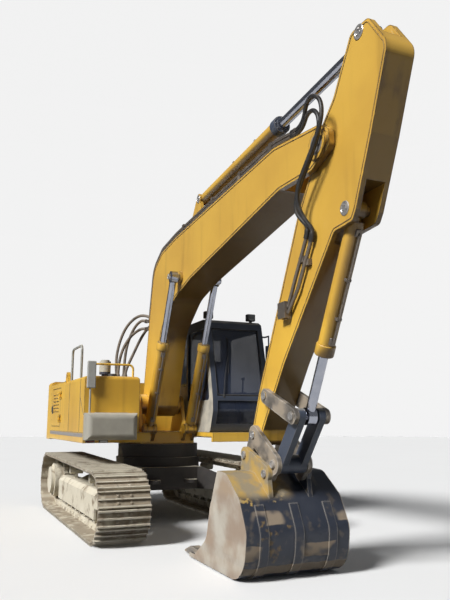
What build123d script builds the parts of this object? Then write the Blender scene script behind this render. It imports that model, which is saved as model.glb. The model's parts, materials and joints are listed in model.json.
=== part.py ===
from build123d import *
import os
from math import acos, cos, hypot, pi, sin, tan

# A tracked excavator, parked with its stick drawn in and its bucket flat on the ground.
# Millimetres. +X is forward, +Y is the machine's left, +Z is up and the ground is Z = 0.
# Shapes are drawn about the slew axis and moved by SLEW_X when they are written,
# which puts the origin under the middle of the whole machine.
SLEW_X = -1835.0

# Clearances
RUN = 0.3
GAP = 6.0

# Tracks
TRACK_GAUGE = 2400.0
SHOE_WIDTH = 680.0
SHOE_COUNT = 46
SHOE_THICK = 20.0
GROUSER = 30.0
IDLER_X = 2020.0
IDLER_TIP_R = 470.0
SPROCKET_X = -2020.0
SPROCKET_TIP_R = 500.0
LINK_HEIGHT = 110.0
LINK_THICK = 45.0
LINK_OFFSET = 85.0
TOOTH_COUNT = 22

# Track frames and rollers
FRAME_HALF = 170.0
FRAME_WALL = 30.0
FRAME_X = 1450.0
FRAME_TOP = 620.0
FRAME_SHOULDER = 70.0
ROLLER_R = 85.0
ROLLER_COUNT = 8
ROLLER_PITCH = 345.0
CARRIER_R = 65.0
CARRIER_X = 780.0

# Carbody and slew ring
BODY_Z = 520.0
BODY_TOP = 860.0
LEG_TOP = 590.0
DRUM_TOP = 1000.0
RING_R = 660.0
SPIGOT_R = 480.0
EYE_BORE_R = 35.0
EYE_THICK = 50.0

# Upper structure
DECK_Z = 1215.0
DECK_TOP = 1400.0
DECK_PLATE = 70.0
HALF_WIDTH = 1480.0
WELL_HALF = 455.0
WELL_FRONT = 500.0
TAIL_R = 2950.0
WEIGHT_DEPTH = 900.0
DECK_REAR = WEIGHT_DEPTH - TAIL_R
EDGE_BEAM = 60.0
HOUSE_FRONT = -560.0
HOUSE_TOP = 2240.0
HOUSE_WALL = 40.0
TANK_FRONT = 1050.0
TANK_INNER = 640.0
STEP_FRONT = 1300.0
STEP_Z = 1300.0
STEP_TOP = 1690.0
WEIGHT_Z = 1240.0
WEIGHT_TOP = 2310.0
LIFT_X = DECK_REAR - 350.0
LIFT_Y = HALF_WIDTH - 360.0
LIFT_BORE_R = 45.0
LUG_THICK = 60.0
RAIL_R = 20.0
RAIL_TOP = HOUSE_TOP + 510.0

# Hood and side doors
HOOD_X0 = DECK_REAR + 90.0
HOOD_X1 = HOUSE_FRONT - 500.0
HOOD_HALF = HALF_WIDTH - 480.0
DOOR_X0 = DECK_REAR + 150.0
DOOR_X1 = HOUSE_FRONT - 440.0
DOOR_Z0 = DECK_TOP + 80.0
DOOR_Z1 = HOUSE_TOP - 90.0
LOUVRE_ROWS = 6
LOUVRE_PITCH = 60.0
LOUVRE_SLOT = 26.0
HINGE_PIN_R = 12.0
HINGE_R = 22.0
HINGE_OUT = 24.0

# Cab
CAB_Y0 = 465.0
CAB_Y1 = 1465.0
CAB_REAR = -450.0
CAB_FRONT = 1300.0
CAB_BROW = 1000.0
CAB_ROOF = 3220.0
CAB_WALL = 60.0
GLASS = 8.0
GLASS_INSET = 22.0
CAB_MIDDLE = (CAB_Y0 + CAB_Y1) / 2
CAB_FLOOR = DECK_TOP + CAB_WALL
SEAT_HALF = 250.0
SEAT_X = CAB_REAR + 590.0
SEAT_Z = CAB_FLOOR + 400.0
SEAT_DEPTH = 500.0

# Arm, seen from the side: (x, z) of each pin at rest
BOOM_FOOT = (0.0, 1850.0)
BOOM_BEND = (1000.0, 3720.0)
BOOM_TIP = (5620.0, 4220.0)
LIFT_FOOT = (600.0, 1450.0)
LIFT_EYE = (1675.0, 3700.0)
CROWD_FOOT = (2080.0, 4830.0)
CROWD_EYE = (6240.0, 5080.0)
CURL_FOOT = (5920.0, 3490.0)
CURL_EYE = (4950.0, 1620.0)
ROCKER_PIN = (4360.0, 1840.0)
BUCKET_PIN = (4080.0, 1420.0)
LINK_PIN = (4550.0, 1130.0)
JAW_PIN = (3960.0, 1200.0)
HOOK_PIN = (4450.0, 1030.0)

BOOM_HALF = 225.0
BOOM_FOOT_HALF = 340.0
BOOM_HUB_R = 205.0
BOOM_PIN_R = 60.0
FORK_HALF = 160.0
FORK_DEPTH = 800.0
STICK_HALF = 150.0
STICK_SLOT_HALF = 95.0
STICK_PIN_R = 45.0
ARM_PLATE = 50.0
EAR_R = 80.0
LIFT_Y_OFF = 340.0
LIFT_BARREL_R = 82.0
LIFT_ROD_R = 50.0
LIFT_BARREL = 1450.0
LIFT_INSERT = 530.0
CROWD_BARREL_R = 95.0
CROWD_ROD_R = 58.0
CROWD_BARREL = 2420.0
CROWD_INSERT = 360.0
CURL_BARREL_R = 85.0
CURL_ROD_R = 50.0
CURL_BARREL = 1440.0
CURL_INSERT = 860.0
EYE_HALF = 48.0

# Pipes and hoses
# Each of the boom's pipes: (height above the boom's back, run below the back's last corner)
HIGH_PIPE = (78.0, 200.0)
LOW_PIPE = (32.0, 330.0)
PIPE_R = 20.0
PIPE_Y = 27.0 - BOOM_HALF
PIPE_ELBOW = (-166.0, 36.0)
HOSE_R = 20.0
HOSE_LEAD = 110.0
MANIFOLD_TOP = HOUSE_TOP + 60.0
STICK_PIPE_LIFT = 45.0
PIPE_SIDE = STICK_HALF + STICK_PIPE_LIFT
STICK_PIPE_RUN = (265.0, 420.0)

# Bucket
BUCKET_HALF = 600.0
BUCKET_WALL = 32.0
BUCKET_Z = 15.0
BUCKET_TOP = 1040.0
LIP_X = 3250.0
HEEL_X = 4720.0
TIP_X = 2900.0
LIP_THICK = 45.0
TOOTH_HALF = 55.0
TOOTH_NUMBER = 5
WEAR_STRIP = 11.0

BASE = (Align.CENTER, Align.CENTER, Align.MIN)


def block(x0, x1, y0, y1, z0, z1):
    """Rectangular block between two corners."""
    centre = Pos((x0 + x1) / 2, (y0 + y1) / 2, (z0 + z1) / 2)
    return centre * Box(abs(x1 - x0), abs(y1 - y0), abs(z1 - z0))


def plate(points, y0, y1, radii=None):
    """Flat piece: an outline in X and Z, with rounded corners if radii are given, from y0 to y1."""
    corners = [(x, y0, z) for x, z in points]
    line = FilletPolyline(*corners, radius=radii, close=True) if radii else Polyline(*corners, close=True)
    return extrude(make_face(line), amount=y1 - y0, dir=(0, 1, 0))


def slab(points, z0, z1):
    """Flat piece: an outline in X and Y, from z0 to z1."""
    line = Polyline(*[(x, y, z0) for x, y in points], close=True)
    return extrude(make_face(line), amount=z1 - z0, dir=(0, 0, 1))


def beam(points, x0, x1):
    """Straight beam: an outline in Y and Z, from x0 to x1."""
    line = Polyline(*[(x0, y, z) for y, z in points], close=True)
    return extrude(make_face(line), amount=x1 - x0, dir=(1, 0, 0))


def bar(start, end, radius):
    """Round bar between two points."""
    run = Vector(*end) - Vector(*start)
    return Plane(origin=start, z_dir=run) * Cylinder(radius, run.length, align=BASE)


def cross(point, radius, y0, y1):
    """Round piece across the machine at an (x, z) point."""
    return bar((point[0], y0, point[1]), (point[0], y1, point[1]), radius)


def tube(points, radius, bends):
    """Round tube along straight runs joined by tangent arcs."""
    path = FilletPolyline(*points, radius=bends)
    return sweep(Plane(origin=path @ 0, z_dir=path % 0) * Circle(radius), path=path)


def both(shape):
    """A shape and its twin on the other side of the machine."""
    return group(shape, mirror(shape, about=Plane.XZ))


def group(*shapes):
    """Several solids in one piece."""
    return Compound([solid for shape in shapes for solid in shape.solids()])


def offset_from(anchor, rows):
    """Points given as (dx, dz, radius) rows from an anchor."""
    return [(anchor[0] + dx, anchor[1] + dz, radius) for dx, dz, radius in rows]


def outline(rows, y0, y1):
    """Plate from (x, z, radius) rows."""
    return plate([(x, z) for x, z, radius in rows], y0, y1, [radius for x, z, radius in rows])


# Tracks

def rim(centre, radius, turn):
    """Point on a circle round an (x, z) centre."""
    return (centre[0] + radius * cos(turn), centre[1] + radius * sin(turn))


def belt():
    """Corners of the shoes, evenly spaced along a belt around sprocket and idler."""
    rear_r = SPROCKET_TIP_R - GROUSER
    front_r = IDLER_TIP_R - GROUSER
    rear = (SPROCKET_X, SPROCKET_TIP_R)
    front = (IDLER_X, IDLER_TIP_R)
    span = hypot(front[0] - rear[0], front[1] - rear[1])
    rise = (front[1] - rear[1]) / span
    lean = acos((rear_r - front_r) / span)
    low = rise - lean
    high = rise + lean
    straight = span * sin(lean)
    lengths = [straight, front_r * 2 * lean, straight, rear_r * (2 * pi - 2 * lean)]
    corners = []
    for index in range(SHOE_COUNT):
        run = sum(lengths) * index / SHOE_COUNT
        part = 0
        while run > lengths[part]:
            run -= lengths[part]
            part += 1
        if part == 0:
            at = rim(rear, rear_r, low)
            at = (at[0] - run * sin(low), at[1] + run * cos(low))
        elif part == 1:
            at = rim(front, front_r, low + run / front_r)
        elif part == 2:
            at = rim(front, front_r, high)
            at = (at[0] - run * sin(high), at[1] + run * cos(high))
        else:
            at = rim(rear, rear_r, high + run / rear_r)
        corners.append(Vector(at[0], at[1]))
    return corners


def chord(corners, index):
    """Start, direction, outward side and length of one shoe."""
    start = corners[index % SHOE_COUNT]
    run = corners[(index + 1) % SHOE_COUNT] - start
    along = run.normalized()
    return start, along, Vector(along.Y, -along.X), run.length


def inset(corners, depth):
    """The belt's polygon moved inwards."""
    points = []
    for index in range(SHOE_COUNT):
        before = chord(corners, index - 1)[2]
        after = chord(corners, index)[2]
        point = corners[index] - (before + after) * (depth / (1 + before.dot(after)))
        points.append((point.X, point.Y))
    return points


# One shoe's outer side: share of its length, share of the bar's height
SHOE_PROFILE = [
    (0.0, -0.4), (0.05, 1.0), (0.13, 1.0), (0.17, 0.0), (0.44, 0.0), (0.46, 1.0),
    (0.54, 1.0), (0.56, 0.0), (0.83, 0.0), (0.87, 1.0), (0.95, 1.0),
]


def ring_plate(outer, inner, y0, y1):
    """Closed band between two outlines in X and Z."""
    outer_wire = Polyline(*[(x, y0, z) for x, z in outer], close=True)
    inner_wire = Polyline(*[(x, y0, z) for x, z in inner], close=True)
    band = Face(Wire(outer_wire.edges()), [Wire(inner_wire.edges())])
    return extrude(band, amount=y1 - y0, dir=(0, 1, 0))


def track_shoes(corners):
    """All the shoes of one track, with three bars on each, as one loop."""
    points = []
    for index in range(SHOE_COUNT):
        start, along, outward, length = chord(corners, index)
        for share, height in SHOE_PROFILE:
            point = start + along * (share * length) + outward * (height * GROUSER)
            points.append((point.X, point.Y))
    y0 = -TRACK_GAUGE / 2 - SHOE_WIDTH / 2
    return ring_plate(points, inset(corners, SHOE_THICK), y0, y0 + SHOE_WIDTH)


def track_chain(corners):
    """The two rows of links that carry one track's shoes."""
    outer = inset(corners, SHOE_THICK)
    inner = inset(corners, SHOE_THICK + LINK_HEIGHT)
    rows = []
    for side in (-1, 1):
        middle = -TRACK_GAUGE / 2 + side * LINK_OFFSET
        rows.append(ring_plate(outer, inner, middle - LINK_THICK / 2, middle + LINK_THICK / 2))
    return group(*rows)


def tread_radius(tip_r, corners):
    """Radius that just fits inside the links where they bend round a wheel."""
    pitch = (corners[1] - corners[0]).length
    shoe_r = tip_r - GROUSER
    return (shoe_r ** 2 - pitch ** 2 / 4) ** 0.5 - SHOE_THICK - LINK_HEIGHT - 1.0


def drive_sprocket(corners):
    """Toothed wheel between the links, with its drive drum outside and motor inside."""
    middle = -TRACK_GAUGE / 2
    hub = (SPROCKET_X, SPROCKET_TIP_R)
    root = tread_radius(SPROCKET_TIP_R, corners)
    tip = root + LINK_HEIGHT * 0.6
    points = []
    for index in range(TOOTH_COUNT * 4):
        turn = 2 * pi * (index + 0.5) / (TOOTH_COUNT * 4)
        radius = tip if index % 4 < 2 else root + 12.0
        shift = 0.25 if index % 4 == 0 else (-0.25 if index % 4 == 1 else 0.0)
        turn += shift * 2 * pi / (TOOTH_COUNT * 4)
        points.append(rim(hub, radius, turn))
    half = LINK_OFFSET - LINK_THICK / 2 - 28.0
    wheel = plate(points, middle - half, middle + half)
    wheel += cross(hub, root - 28.0, middle - 190.0, middle + half)
    wheel += cross(hub, root - 90.0, middle - 250.0, middle - 190.0)
    wheel += cross(hub, root - 70.0, middle + half, middle + FRAME_HALF - FRAME_WALL)
    return wheel


def front_idler(corners):
    """Smooth wheel with a middle flange that runs between the links, on its axle."""
    middle = -TRACK_GAUGE / 2
    tread = tread_radius(IDLER_TIP_R, corners)
    hub = (IDLER_X, IDLER_TIP_R)
    half = FRAME_HALF - FRAME_WALL - 20.0
    wheel = cross(hub, tread, middle - half, middle + half)
    wheel += cross(hub, tread + 30.0, middle - LINK_OFFSET + 40.0, middle + LINK_OFFSET - 40.0)
    for side in (-1, 1):
        dish = cross(hub, tread - 45.0, middle + side * (half - 55.0), middle + side * (half + 1.0))
        wheel -= dish
        wheel += cross(hub, 100.0, middle, middle + side * (FRAME_HALF - FRAME_WALL))
    return wheel


def track_frame():
    """Side frame: an upturned channel over the rollers, with an idler yoke and a motor plate."""
    middle = -TRACK_GAUGE / 2
    out = FRAME_HALF
    inn = FRAME_HALF - FRAME_WALL
    skirt = roller_axis() - 10.0
    roof = roller_axis() + ROLLER_R + 15.0
    profile = [
        (-out, skirt), (-out, FRAME_TOP - FRAME_SHOULDER), (-out + FRAME_SHOULDER, FRAME_TOP),
        (out - FRAME_SHOULDER, FRAME_TOP), (out, FRAME_TOP - FRAME_SHOULDER), (out, skirt),
        (inn, skirt), (inn, roof), (-inn, roof), (-inn, skirt),
    ]
    frame = beam([(middle + y, z) for y, z in profile], -FRAME_X, FRAME_X)
    yoke_z = IDLER_TIP_R
    for side in (-1, 1):
        near = middle + side * inn
        far = middle + side * out
        arm = plate([(FRAME_X - 60.0, yoke_z - 90.0), (IDLER_X + 60.0, yoke_z - 60.0),
                     (IDLER_X + 60.0, yoke_z + 60.0), (FRAME_X - 60.0, yoke_z + 75.0)], near, far)
        frame += arm
    hub = (SPROCKET_X, SPROCKET_TIP_R)
    cheek = plate([(-FRAME_X + 60.0, roof), (SPROCKET_X, hub[1] - 230.0), (SPROCKET_X - 230.0, hub[1]),
                   (SPROCKET_X, hub[1] + 230.0), (-FRAME_X + 60.0, FRAME_TOP - FRAME_SHOULDER)],
                  middle + inn, middle + out)
    return frame + cheek


def roller_axis():
    """Height of the bottom rollers' axles: they run on the links of the lower run."""
    return GROUSER + SHOE_THICK + LINK_HEIGHT + ROLLER_R + 0.5


def upper_run(x):
    """Height of the links' running face on the upper run."""
    rear = 2 * SPROCKET_TIP_R - GROUSER
    front = 2 * IDLER_TIP_R - GROUSER
    share = (x - SPROCKET_X) / (IDLER_X - SPROCKET_X)
    return rear + (front - rear) * share - SHOE_THICK - LINK_HEIGHT


def track_rollers():
    """Bottom rollers between the frame's skirts and carrier rollers on posts above it."""
    middle = -TRACK_GAUGE / 2
    reach = FRAME_HALF - FRAME_WALL
    tread = LINK_OFFSET + LINK_THICK / 2
    rollers = []
    for index in range(ROLLER_COUNT):
        at = ((index - (ROLLER_COUNT - 1) / 2) * ROLLER_PITCH, roller_axis())
        roller = cross(at, ROLLER_R, middle - tread, middle + tread)
        roller -= cross(at, ROLLER_R + 1.0, middle - 30.0, middle + 30.0)
        roller += cross(at, ROLLER_R - 25.0, middle - 30.0, middle + 30.0)
        roller += cross(at, 30.0, middle - reach, middle + reach)
        rollers.append(roller)
    for x in (-CARRIER_X, CARRIER_X):
        at = (x, upper_run(x) - CARRIER_R - 2.0)
        carrier = cross(at, CARRIER_R, middle - tread, middle + tread)
        carrier += block(x - 35.0, x + 35.0, middle - 25.0, middle + 25.0, FRAME_TOP, at[1])
        rollers.append(carrier)
    return group(*rollers)


# Carbody

def carbody():
    """X-shaped centre frame with sloping legs, a drum for the slew ring and four tie-down eyes."""
    reach = TRACK_GAUGE / 2 - FRAME_HALF
    quarter = [(380.0, 760.0), (500.0, reach), (1150.0, reach), (1050.0, 700.0), (760.0, 420.0)]
    points = list(quarter)
    points += [(x, -y) for x, y in reversed(quarter)]
    points += [(-x, -y) for x, y in quarter]
    points += [(-x, y) for x, y in reversed(quarter)]
    body = slab(points, BODY_Z, BODY_TOP)
    for side in (-1, 1):
        edge = side * (reach + 1.0)
        wedge = [(side * 480.0, BODY_TOP + 1.0), (edge, BODY_TOP + 1.0), (edge, LEG_TOP)]
        body -= beam(wedge, -FRAME_X, FRAME_X)
    body += Pos(0, 0, BODY_TOP - 40.0) * Cylinder(RING_R + 30.0, DRUM_TOP - BODY_TOP + 40.0, align=BASE)
    for end in (-1, 1):
        for side in (-1, 1):
            body += tie_eye(end, side)
    return body


def tie_eye(end, side):
    """Flat lug on the carbody's end, drilled from top to bottom for a shackle."""
    face = end * 740.0
    tip = end * 860.0
    y = side * 300.0
    z0 = BODY_Z + 130.0 - EYE_THICK / 2
    lug = slab([(face, y - 110.0), (tip, y - 75.0), (tip, y + 75.0), (face, y + 110.0)], z0, z0 + EYE_THICK)
    lug += Pos(tip, y, z0) * Cylinder(75.0, EYE_THICK, align=BASE)
    return lug - Pos(tip, y, z0 - 1.0) * Cylinder(EYE_BORE_R, EYE_THICK + 2.0, align=BASE)


def slew_ring():
    """Bearing ring on the drum, bored for the upper structure's spigot."""
    ring = Pos(0, 0, DRUM_TOP) * Cylinder(RING_R, DECK_Z - GAP - DRUM_TOP, align=BASE)
    return ring - Pos(0, 0, DRUM_TOP - 1.0) * Cylinder(SPIGOT_R + RUN, DECK_Z - DRUM_TOP, align=BASE)


# Upper structure

def main_frame():
    """Deck with a deep middle box, edge beams, boom brackets, cylinder ears and the slew spigot."""
    right = [(TANK_FRONT, -HALF_WIDTH), (TANK_FRONT, -WELL_HALF), (WELL_FRONT, -WELL_HALF)]
    left = [(WELL_FRONT, CAB_Y0), (CAB_FRONT, CAB_Y0), (CAB_FRONT, HALF_WIDTH)]
    rear = [(DECK_REAR, HALF_WIDTH), (DECK_REAR, -HALF_WIDTH)]
    frame = slab(right + left + rear, DECK_TOP - DECK_PLATE, DECK_TOP)
    frame += block(DECK_REAR, WELL_FRONT, -WELL_HALF, WELL_HALF, DECK_Z, DECK_TOP)
    low = DECK_Z + 40.0
    frame += block(DECK_REAR, CAB_FRONT, HALF_WIDTH - EDGE_BEAM, HALF_WIDTH, low, DECK_TOP)
    frame += block(DECK_REAR, TANK_FRONT, -HALF_WIDTH, EDGE_BEAM - HALF_WIDTH, low, DECK_TOP)
    frame += block(CAB_FRONT - EDGE_BEAM, CAB_FRONT, CAB_Y0, HALF_WIDTH, low, DECK_TOP)
    frame += block(TANK_FRONT - EDGE_BEAM, TANK_FRONT, -HALF_WIDTH, -WELL_HALF, low, DECK_TOP)
    frame += Pos(0, 0, DRUM_TOP + 60.0) * Cylinder(SPIGOT_R, DECK_Z - DRUM_TOP - 50.0, align=BASE)
    for side in (-1, 1):
        frame += boom_bracket(side)
        frame += lift_ears(side)
    frame += cross(BOOM_FOOT, BOOM_PIN_R, -BOOM_FOOT_HALF - ARM_PLATE, BOOM_FOOT_HALF + ARM_PLATE)
    return frame


def boom_bracket(side):
    """Upright cheek that holds one end of the boom's foot pin."""
    near = side * (BOOM_FOOT_HALF + GAP)
    far = side * (BOOM_FOOT_HALF + GAP + ARM_PLATE + 8.0)
    x, z = BOOM_FOOT
    points = [(x - 420.0, DECK_TOP), (x - 130.0, z + 60.0), (x + 130.0, z + 60.0), (x + 300.0, DECK_TOP)]
    cheek = plate(points, near, far)
    return cheek + cross(BOOM_FOOT, 150.0, near, far)


def lift_ears(side):
    """Pair of ears and a pin for the foot of one boom cylinder."""
    x, z = LIFT_FOOT
    ears = []
    for sign in (-1, 1):
        near = side * LIFT_Y_OFF + sign * (EYE_HALF + GAP)
        far = near + sign * ARM_PLATE
        ear = plate([(WELL_FRONT - 20.0, DECK_Z + 20.0), (x, z - EAR_R), (x, z + EAR_R),
                     (WELL_FRONT - 150.0, DECK_TOP - 5.0)], near, far)
        ears.append(ear + cross(LIFT_FOOT, EAR_R, near, far))
    reach = EYE_HALF + GAP + ARM_PLATE
    pin = cross(LIFT_FOOT, STICK_PIN_R, side * LIFT_Y_OFF - reach, side * LIFT_Y_OFF + reach)
    return ears[0] + ears[1] + pin


def counterweight():
    """Heavy tail, rounded to the slew radius, with two drilled lifting eyes."""
    weight = Pos(0, 0, WEIGHT_Z) * Cylinder(TAIL_R, WEIGHT_TOP - WEIGHT_Z, align=BASE)
    weight &= block(-TAIL_R, DECK_REAR, -HALF_WIDTH, HALF_WIDTH, WEIGHT_Z, WEIGHT_TOP)
    corners = weight.edges().filter_by(Axis.Z).group_by(Axis.X)[0]
    weight = fillet(corners, 180.0)
    weight = fillet(weight.faces().sort_by(Axis.Z)[-1].edges().filter_by_position(
        Axis.X, -TAIL_R - 1.0, DECK_REAR - 1.0), 70.0)
    for side in (-1, 1):
        y0 = side * LIFT_Y - LUG_THICK / 2
        y1 = y0 + LUG_THICK
        eye = (LIFT_X, WEIGHT_TOP + 130.0)
        rows = [(-150.0, WEIGHT_TOP - 5.0), (-90.0, eye[1]), (90.0, eye[1]), (150.0, WEIGHT_TOP - 5.0)]
        lug = plate([(LIFT_X + dx, z) for dx, z in rows], y0, y1) + cross(eye, 90.0, y0, y1)
        weight += lug - cross(eye, LIFT_BORE_R, y0 - 1.0, y1 + 1.0)
    return weight


def engine_bay():
    """Hollow house behind the cab and boom, open for its lids, with hose blocks on its roof."""
    house = block(DECK_REAR, HOUSE_FRONT, -HALF_WIDTH, HALF_WIDTH, DECK_TOP, HOUSE_TOP)
    inside = HOUSE_WALL
    house -= block(DECK_REAR + inside, HOUSE_FRONT - inside, inside - HALF_WIDTH, HALF_WIDTH - inside,
                   DECK_TOP - 1.0, HOUSE_TOP - inside)
    house -= block(HOOD_X0, HOOD_X1, -HOOD_HALF, HOOD_HALF, HOUSE_TOP - inside - 1.0, HOUSE_TOP + 1.0)
    for side in (-1, 1):
        near = side * (HALF_WIDTH - inside - 1.0)
        house -= block(DOOR_X0, DOOR_X1, near, side * (HALF_WIDTH + 1.0), DOOR_Z0, DOOR_Z1)
    for y in (-0.6 * HOOD_HALF, 0.6 * HOOD_HALF):
        house += Pos(HOOD_X1, y, HOUSE_TOP + HINGE_OUT) * Rot(-90, 0, 0) * hinge_fixed()
    for z in hinge_heights(DOOR_Z0, DOOR_Z1):
        house += Pos(DOOR_X1, -HALF_WIDTH - HINGE_OUT, z) * hinge_fixed()
        house += Pos(DOOR_X0, HALF_WIDTH + HINGE_OUT, z) * Rot(0, 0, 180) * hinge_fixed()
    x = HOUSE_FRONT - 240.0
    for side in (-1, 1):
        near = side * (WELL_HALF - 85.0)
        house += block(x, x + 220.0, near, side * (TANK_INNER - 40.0), HOUSE_TOP, MANIFOLD_TOP)
    return house


def hinge_heights(z0, z1):
    """Two hinges, a fifth of the way in from each end."""
    return (z0 + (z1 - z0) * 0.2, z1 - (z1 - z0) * 0.2)


def hinge_fixed():
    """Pin on Z with a knuckle at each end and arms to a face on its +X, +Y side."""
    half = 65.0
    piece = Pos(0, 0, -half) * Cylinder(HINGE_PIN_R, 2 * half, align=BASE)
    for z0 in (-half, half - 35.0):
        piece += Pos(0, 0, z0) * Cylinder(HINGE_R, 35.0, align=BASE)
        piece += block(0.0, 75.0, HINGE_OUT - 16.0, HINGE_OUT, z0, z0 + 35.0)
        piece += block(0.0, HINGE_R, 0.0, HINGE_OUT - 8.0, z0, z0 + 35.0)
    return piece


def hinge_moving():
    """Knuckle bored for the pin with an arm to a face on its -X, +Y side."""
    half = 29.0
    piece = Pos(0, 0, -half) * Cylinder(HINGE_R, 2 * half, align=BASE)
    piece += block(-75.0, 0.0, HINGE_OUT - 16.0, HINGE_OUT, -half, half)
    piece += block(-HINGE_R, 0.0, 0.0, HINGE_OUT - 8.0, -half, half)
    return piece - Pos(0, 0, -half - 1.0) * Cylinder(HINGE_PIN_R + RUN, 2 * half + 2.0, align=BASE)


def engine_hood():
    """Lid over the engine, hinged along its front edge."""
    half = HOOD_HALF - GAP
    lid = block(HOOD_X0 + GAP, HOOD_X1 - GAP, -half, half, HOUSE_TOP - HOUSE_WALL, HOUSE_TOP)
    for y in (-0.6 * HOOD_HALF, 0.6 * HOOD_HALF):
        lid += Pos(HOOD_X1, y, HOUSE_TOP + HINGE_OUT) * Rot(-90, 0, 0) * hinge_moving()
    return lid


def side_door(side):
    """Louvred access door in one side of the house."""
    outer = side * HALF_WIDTH
    inner = side * (HALF_WIDTH - HOUSE_WALL)
    door = block(DOOR_X0 + GAP, DOOR_X1 - GAP, inner, outer, DOOR_Z0 + GAP, DOOR_Z1 - GAP)
    width = (DOOR_X1 - DOOR_X0) * 0.29
    for x0 in (DOOR_X0 + width / 2, DOOR_X0 + width * 1.75):
        for row in range(LOUVRE_ROWS):
            z1 = DOOR_Z1 - 90.0 - row * LOUVRE_PITCH
            door -= block(x0, x0 + width, inner - side, outer + side, z1 - LOUVRE_SLOT, z1)
    for z in hinge_heights(DOOR_Z0, DOOR_Z1):
        if side < 0:
            door += Pos(DOOR_X1, outer - HINGE_OUT, z) * hinge_moving()
        else:
            door += Pos(DOOR_X0, outer + HINGE_OUT, z) * Rot(0, 0, 180) * hinge_moving()
    return door


def right_tank():
    """Fuel and oil tank block ahead of the house on the right."""
    tank = block(HOUSE_FRONT, TANK_FRONT, -HALF_WIDTH, -TANK_INNER, DECK_TOP, HOUSE_TOP)
    top = tank.faces().sort_by(Axis.Z)[-1].edges()
    return fillet(top.filter_by_position(Axis.X, HOUSE_FRONT + 1.0, TANK_FRONT + 1.0), 60.0)


def tool_box():
    """Rounded box and step at the right front corner."""
    box = block(TANK_FRONT, STEP_FRONT, -HALF_WIDTH, -TANK_INNER - 80.0, STEP_Z, STEP_TOP)
    front = box.edges().filter_by_position(Axis.X, STEP_FRONT - 1.0, STEP_FRONT + 1.0)
    return fillet(front, 90.0)


def handrails():
    """Tube loops on the tank's top and beside the steps."""
    y = 50.0 - HALF_WIDTH
    rear = HOUSE_FRONT + 260.0
    front = TANK_FRONT - 570.0
    corners = [(front, HOUSE_TOP), (front, RAIL_TOP), (rear, RAIL_TOP), (rear, HOUSE_TOP)]
    loop = tube([(x, y, z) for x, z in corners], RAIL_R, 90.0)
    x = TANK_FRONT - 90.0
    ends = (90.0 - HALF_WIDTH, -TANK_INNER - 90.0)
    low = HOUSE_TOP + 180.0
    corners = [(ends[0], HOUSE_TOP), (ends[0], low), (ends[1], low), (ends[1], HOUSE_TOP)]
    return group(loop, tube([(x, y, z) for y, z in corners], 16.0, 70.0))


def mirrors():
    """Mirror on a post over the tool box and a mirror on the cab's left pillar."""
    x = TANK_FRONT + 60.0
    y = 70.0 - HALF_WIDTH
    right = bar((x, y, STEP_TOP), (x, y, HOUSE_TOP - 90.0), 14.0)
    right += mirror_head(x, y, HOUSE_TOP - 190.0, HOUSE_TOP + 210.0)
    pillar = CAB_BROW + 15.0
    cab_x = CAB_BROW + 150.0
    out = CAB_Y1 + 60.0
    z = CAB_ROOF - 260.0
    arm = bar((pillar, CAB_Y1, z), (pillar, out, z), 14.0)
    arm += bar((pillar - 12.0, out, z), (cab_x, out, z), 14.0)
    arm += bar((cab_x, out, z + 12.0), (cab_x, out, z - 210.0), 12.0)
    arm += mirror_head(cab_x, out, z - 510.0, z - 160.0)
    return group(right, arm)


def mirror_head(x, y, z0, z1):
    """Flat mirror housing with rounded edges, facing rearwards."""
    head = block(x - 25.0, x + 25.0, y - 55.0, y + 75.0, z0, z1)
    return fillet(head.edges(), 15.0)


def precleaner():
    """Air cleaner bowl on its dark base."""
    x = HOUSE_FRONT - 240.0
    y = -TANK_INNER - 120.0
    base = block(x - 150.0, x + 150.0, y - 150.0, y + 150.0, HOUSE_TOP, HOUSE_TOP + 90.0)
    bowl = Pos(x, y, HOUSE_TOP + 90.0) * Cylinder(60.0, 60.0, align=BASE)
    bowl += Pos(x, y, HOUSE_TOP + 150.0) * Cylinder(100.0, 230.0, align=BASE)
    bowl += Pos(x, y, HOUSE_TOP + 380.0) * Cylinder(75.0, 25.0, align=BASE)
    return base + bowl


def exhaust_stack():
    """Exhaust pipe with a slanted mouth, on the other side of the house."""
    x = HOUSE_FRONT - 240.0
    y = TANK_INNER + 120.0
    stack = Pos(x, y, HOUSE_TOP) * Cylinder(65.0, 380.0, align=BASE)
    stack -= Pos(x, y, HOUSE_TOP + 60.0) * Cylinder(58.0, 400.0, align=BASE)
    return stack - Pos(x, y, HOUSE_TOP + 400.0) * Rot(0, 25, 0) * Box(300.0, 300.0, 120.0)


def engine_block():
    """Engine and pumps as one plain mass."""
    half = HOOD_HALF - 100.0
    return block(HOOD_X0 + 80.0, HOOD_X1 - 60.0, -half, half, DECK_TOP, HOUSE_TOP - HOUSE_WALL - 90.0)


# Cab

def cab_profile():
    """Cab seen from the side: upright back, roof, leaning windscreen and tucked-in foot."""
    rows = [
        (CAB_REAR, DECK_TOP, 40.0), (CAB_FRONT - 130.0, DECK_TOP, 60.0),
        (CAB_FRONT, DECK_TOP + 330.0, 150.0), (CAB_FRONT - 10.0, DECK_TOP + 520.0, 200.0),
        (CAB_BROW, CAB_ROOF - 60.0, 60.0),
        (CAB_BROW - 110.0, CAB_ROOF, 100.0), (CAB_REAR, CAB_ROOF, 120.0),
    ]
    corners = [(x, 0.0, z) for x, z, radius in rows]
    return make_face(FilletPolyline(*corners, radius=[radius for x, z, radius in rows], close=True))


def cab_solid(inwards):
    """The cab's outline as a solid, moved inwards from its skin on every side."""
    face = cab_profile()
    if inwards:
        face = offset(face, amount=-inwards)
    y0 = CAB_Y0 + inwards
    return extrude(Pos(0, y0, 0) * face, amount=CAB_Y1 - CAB_Y0 - 2 * inwards, dir=(0, 1, 0))


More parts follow.
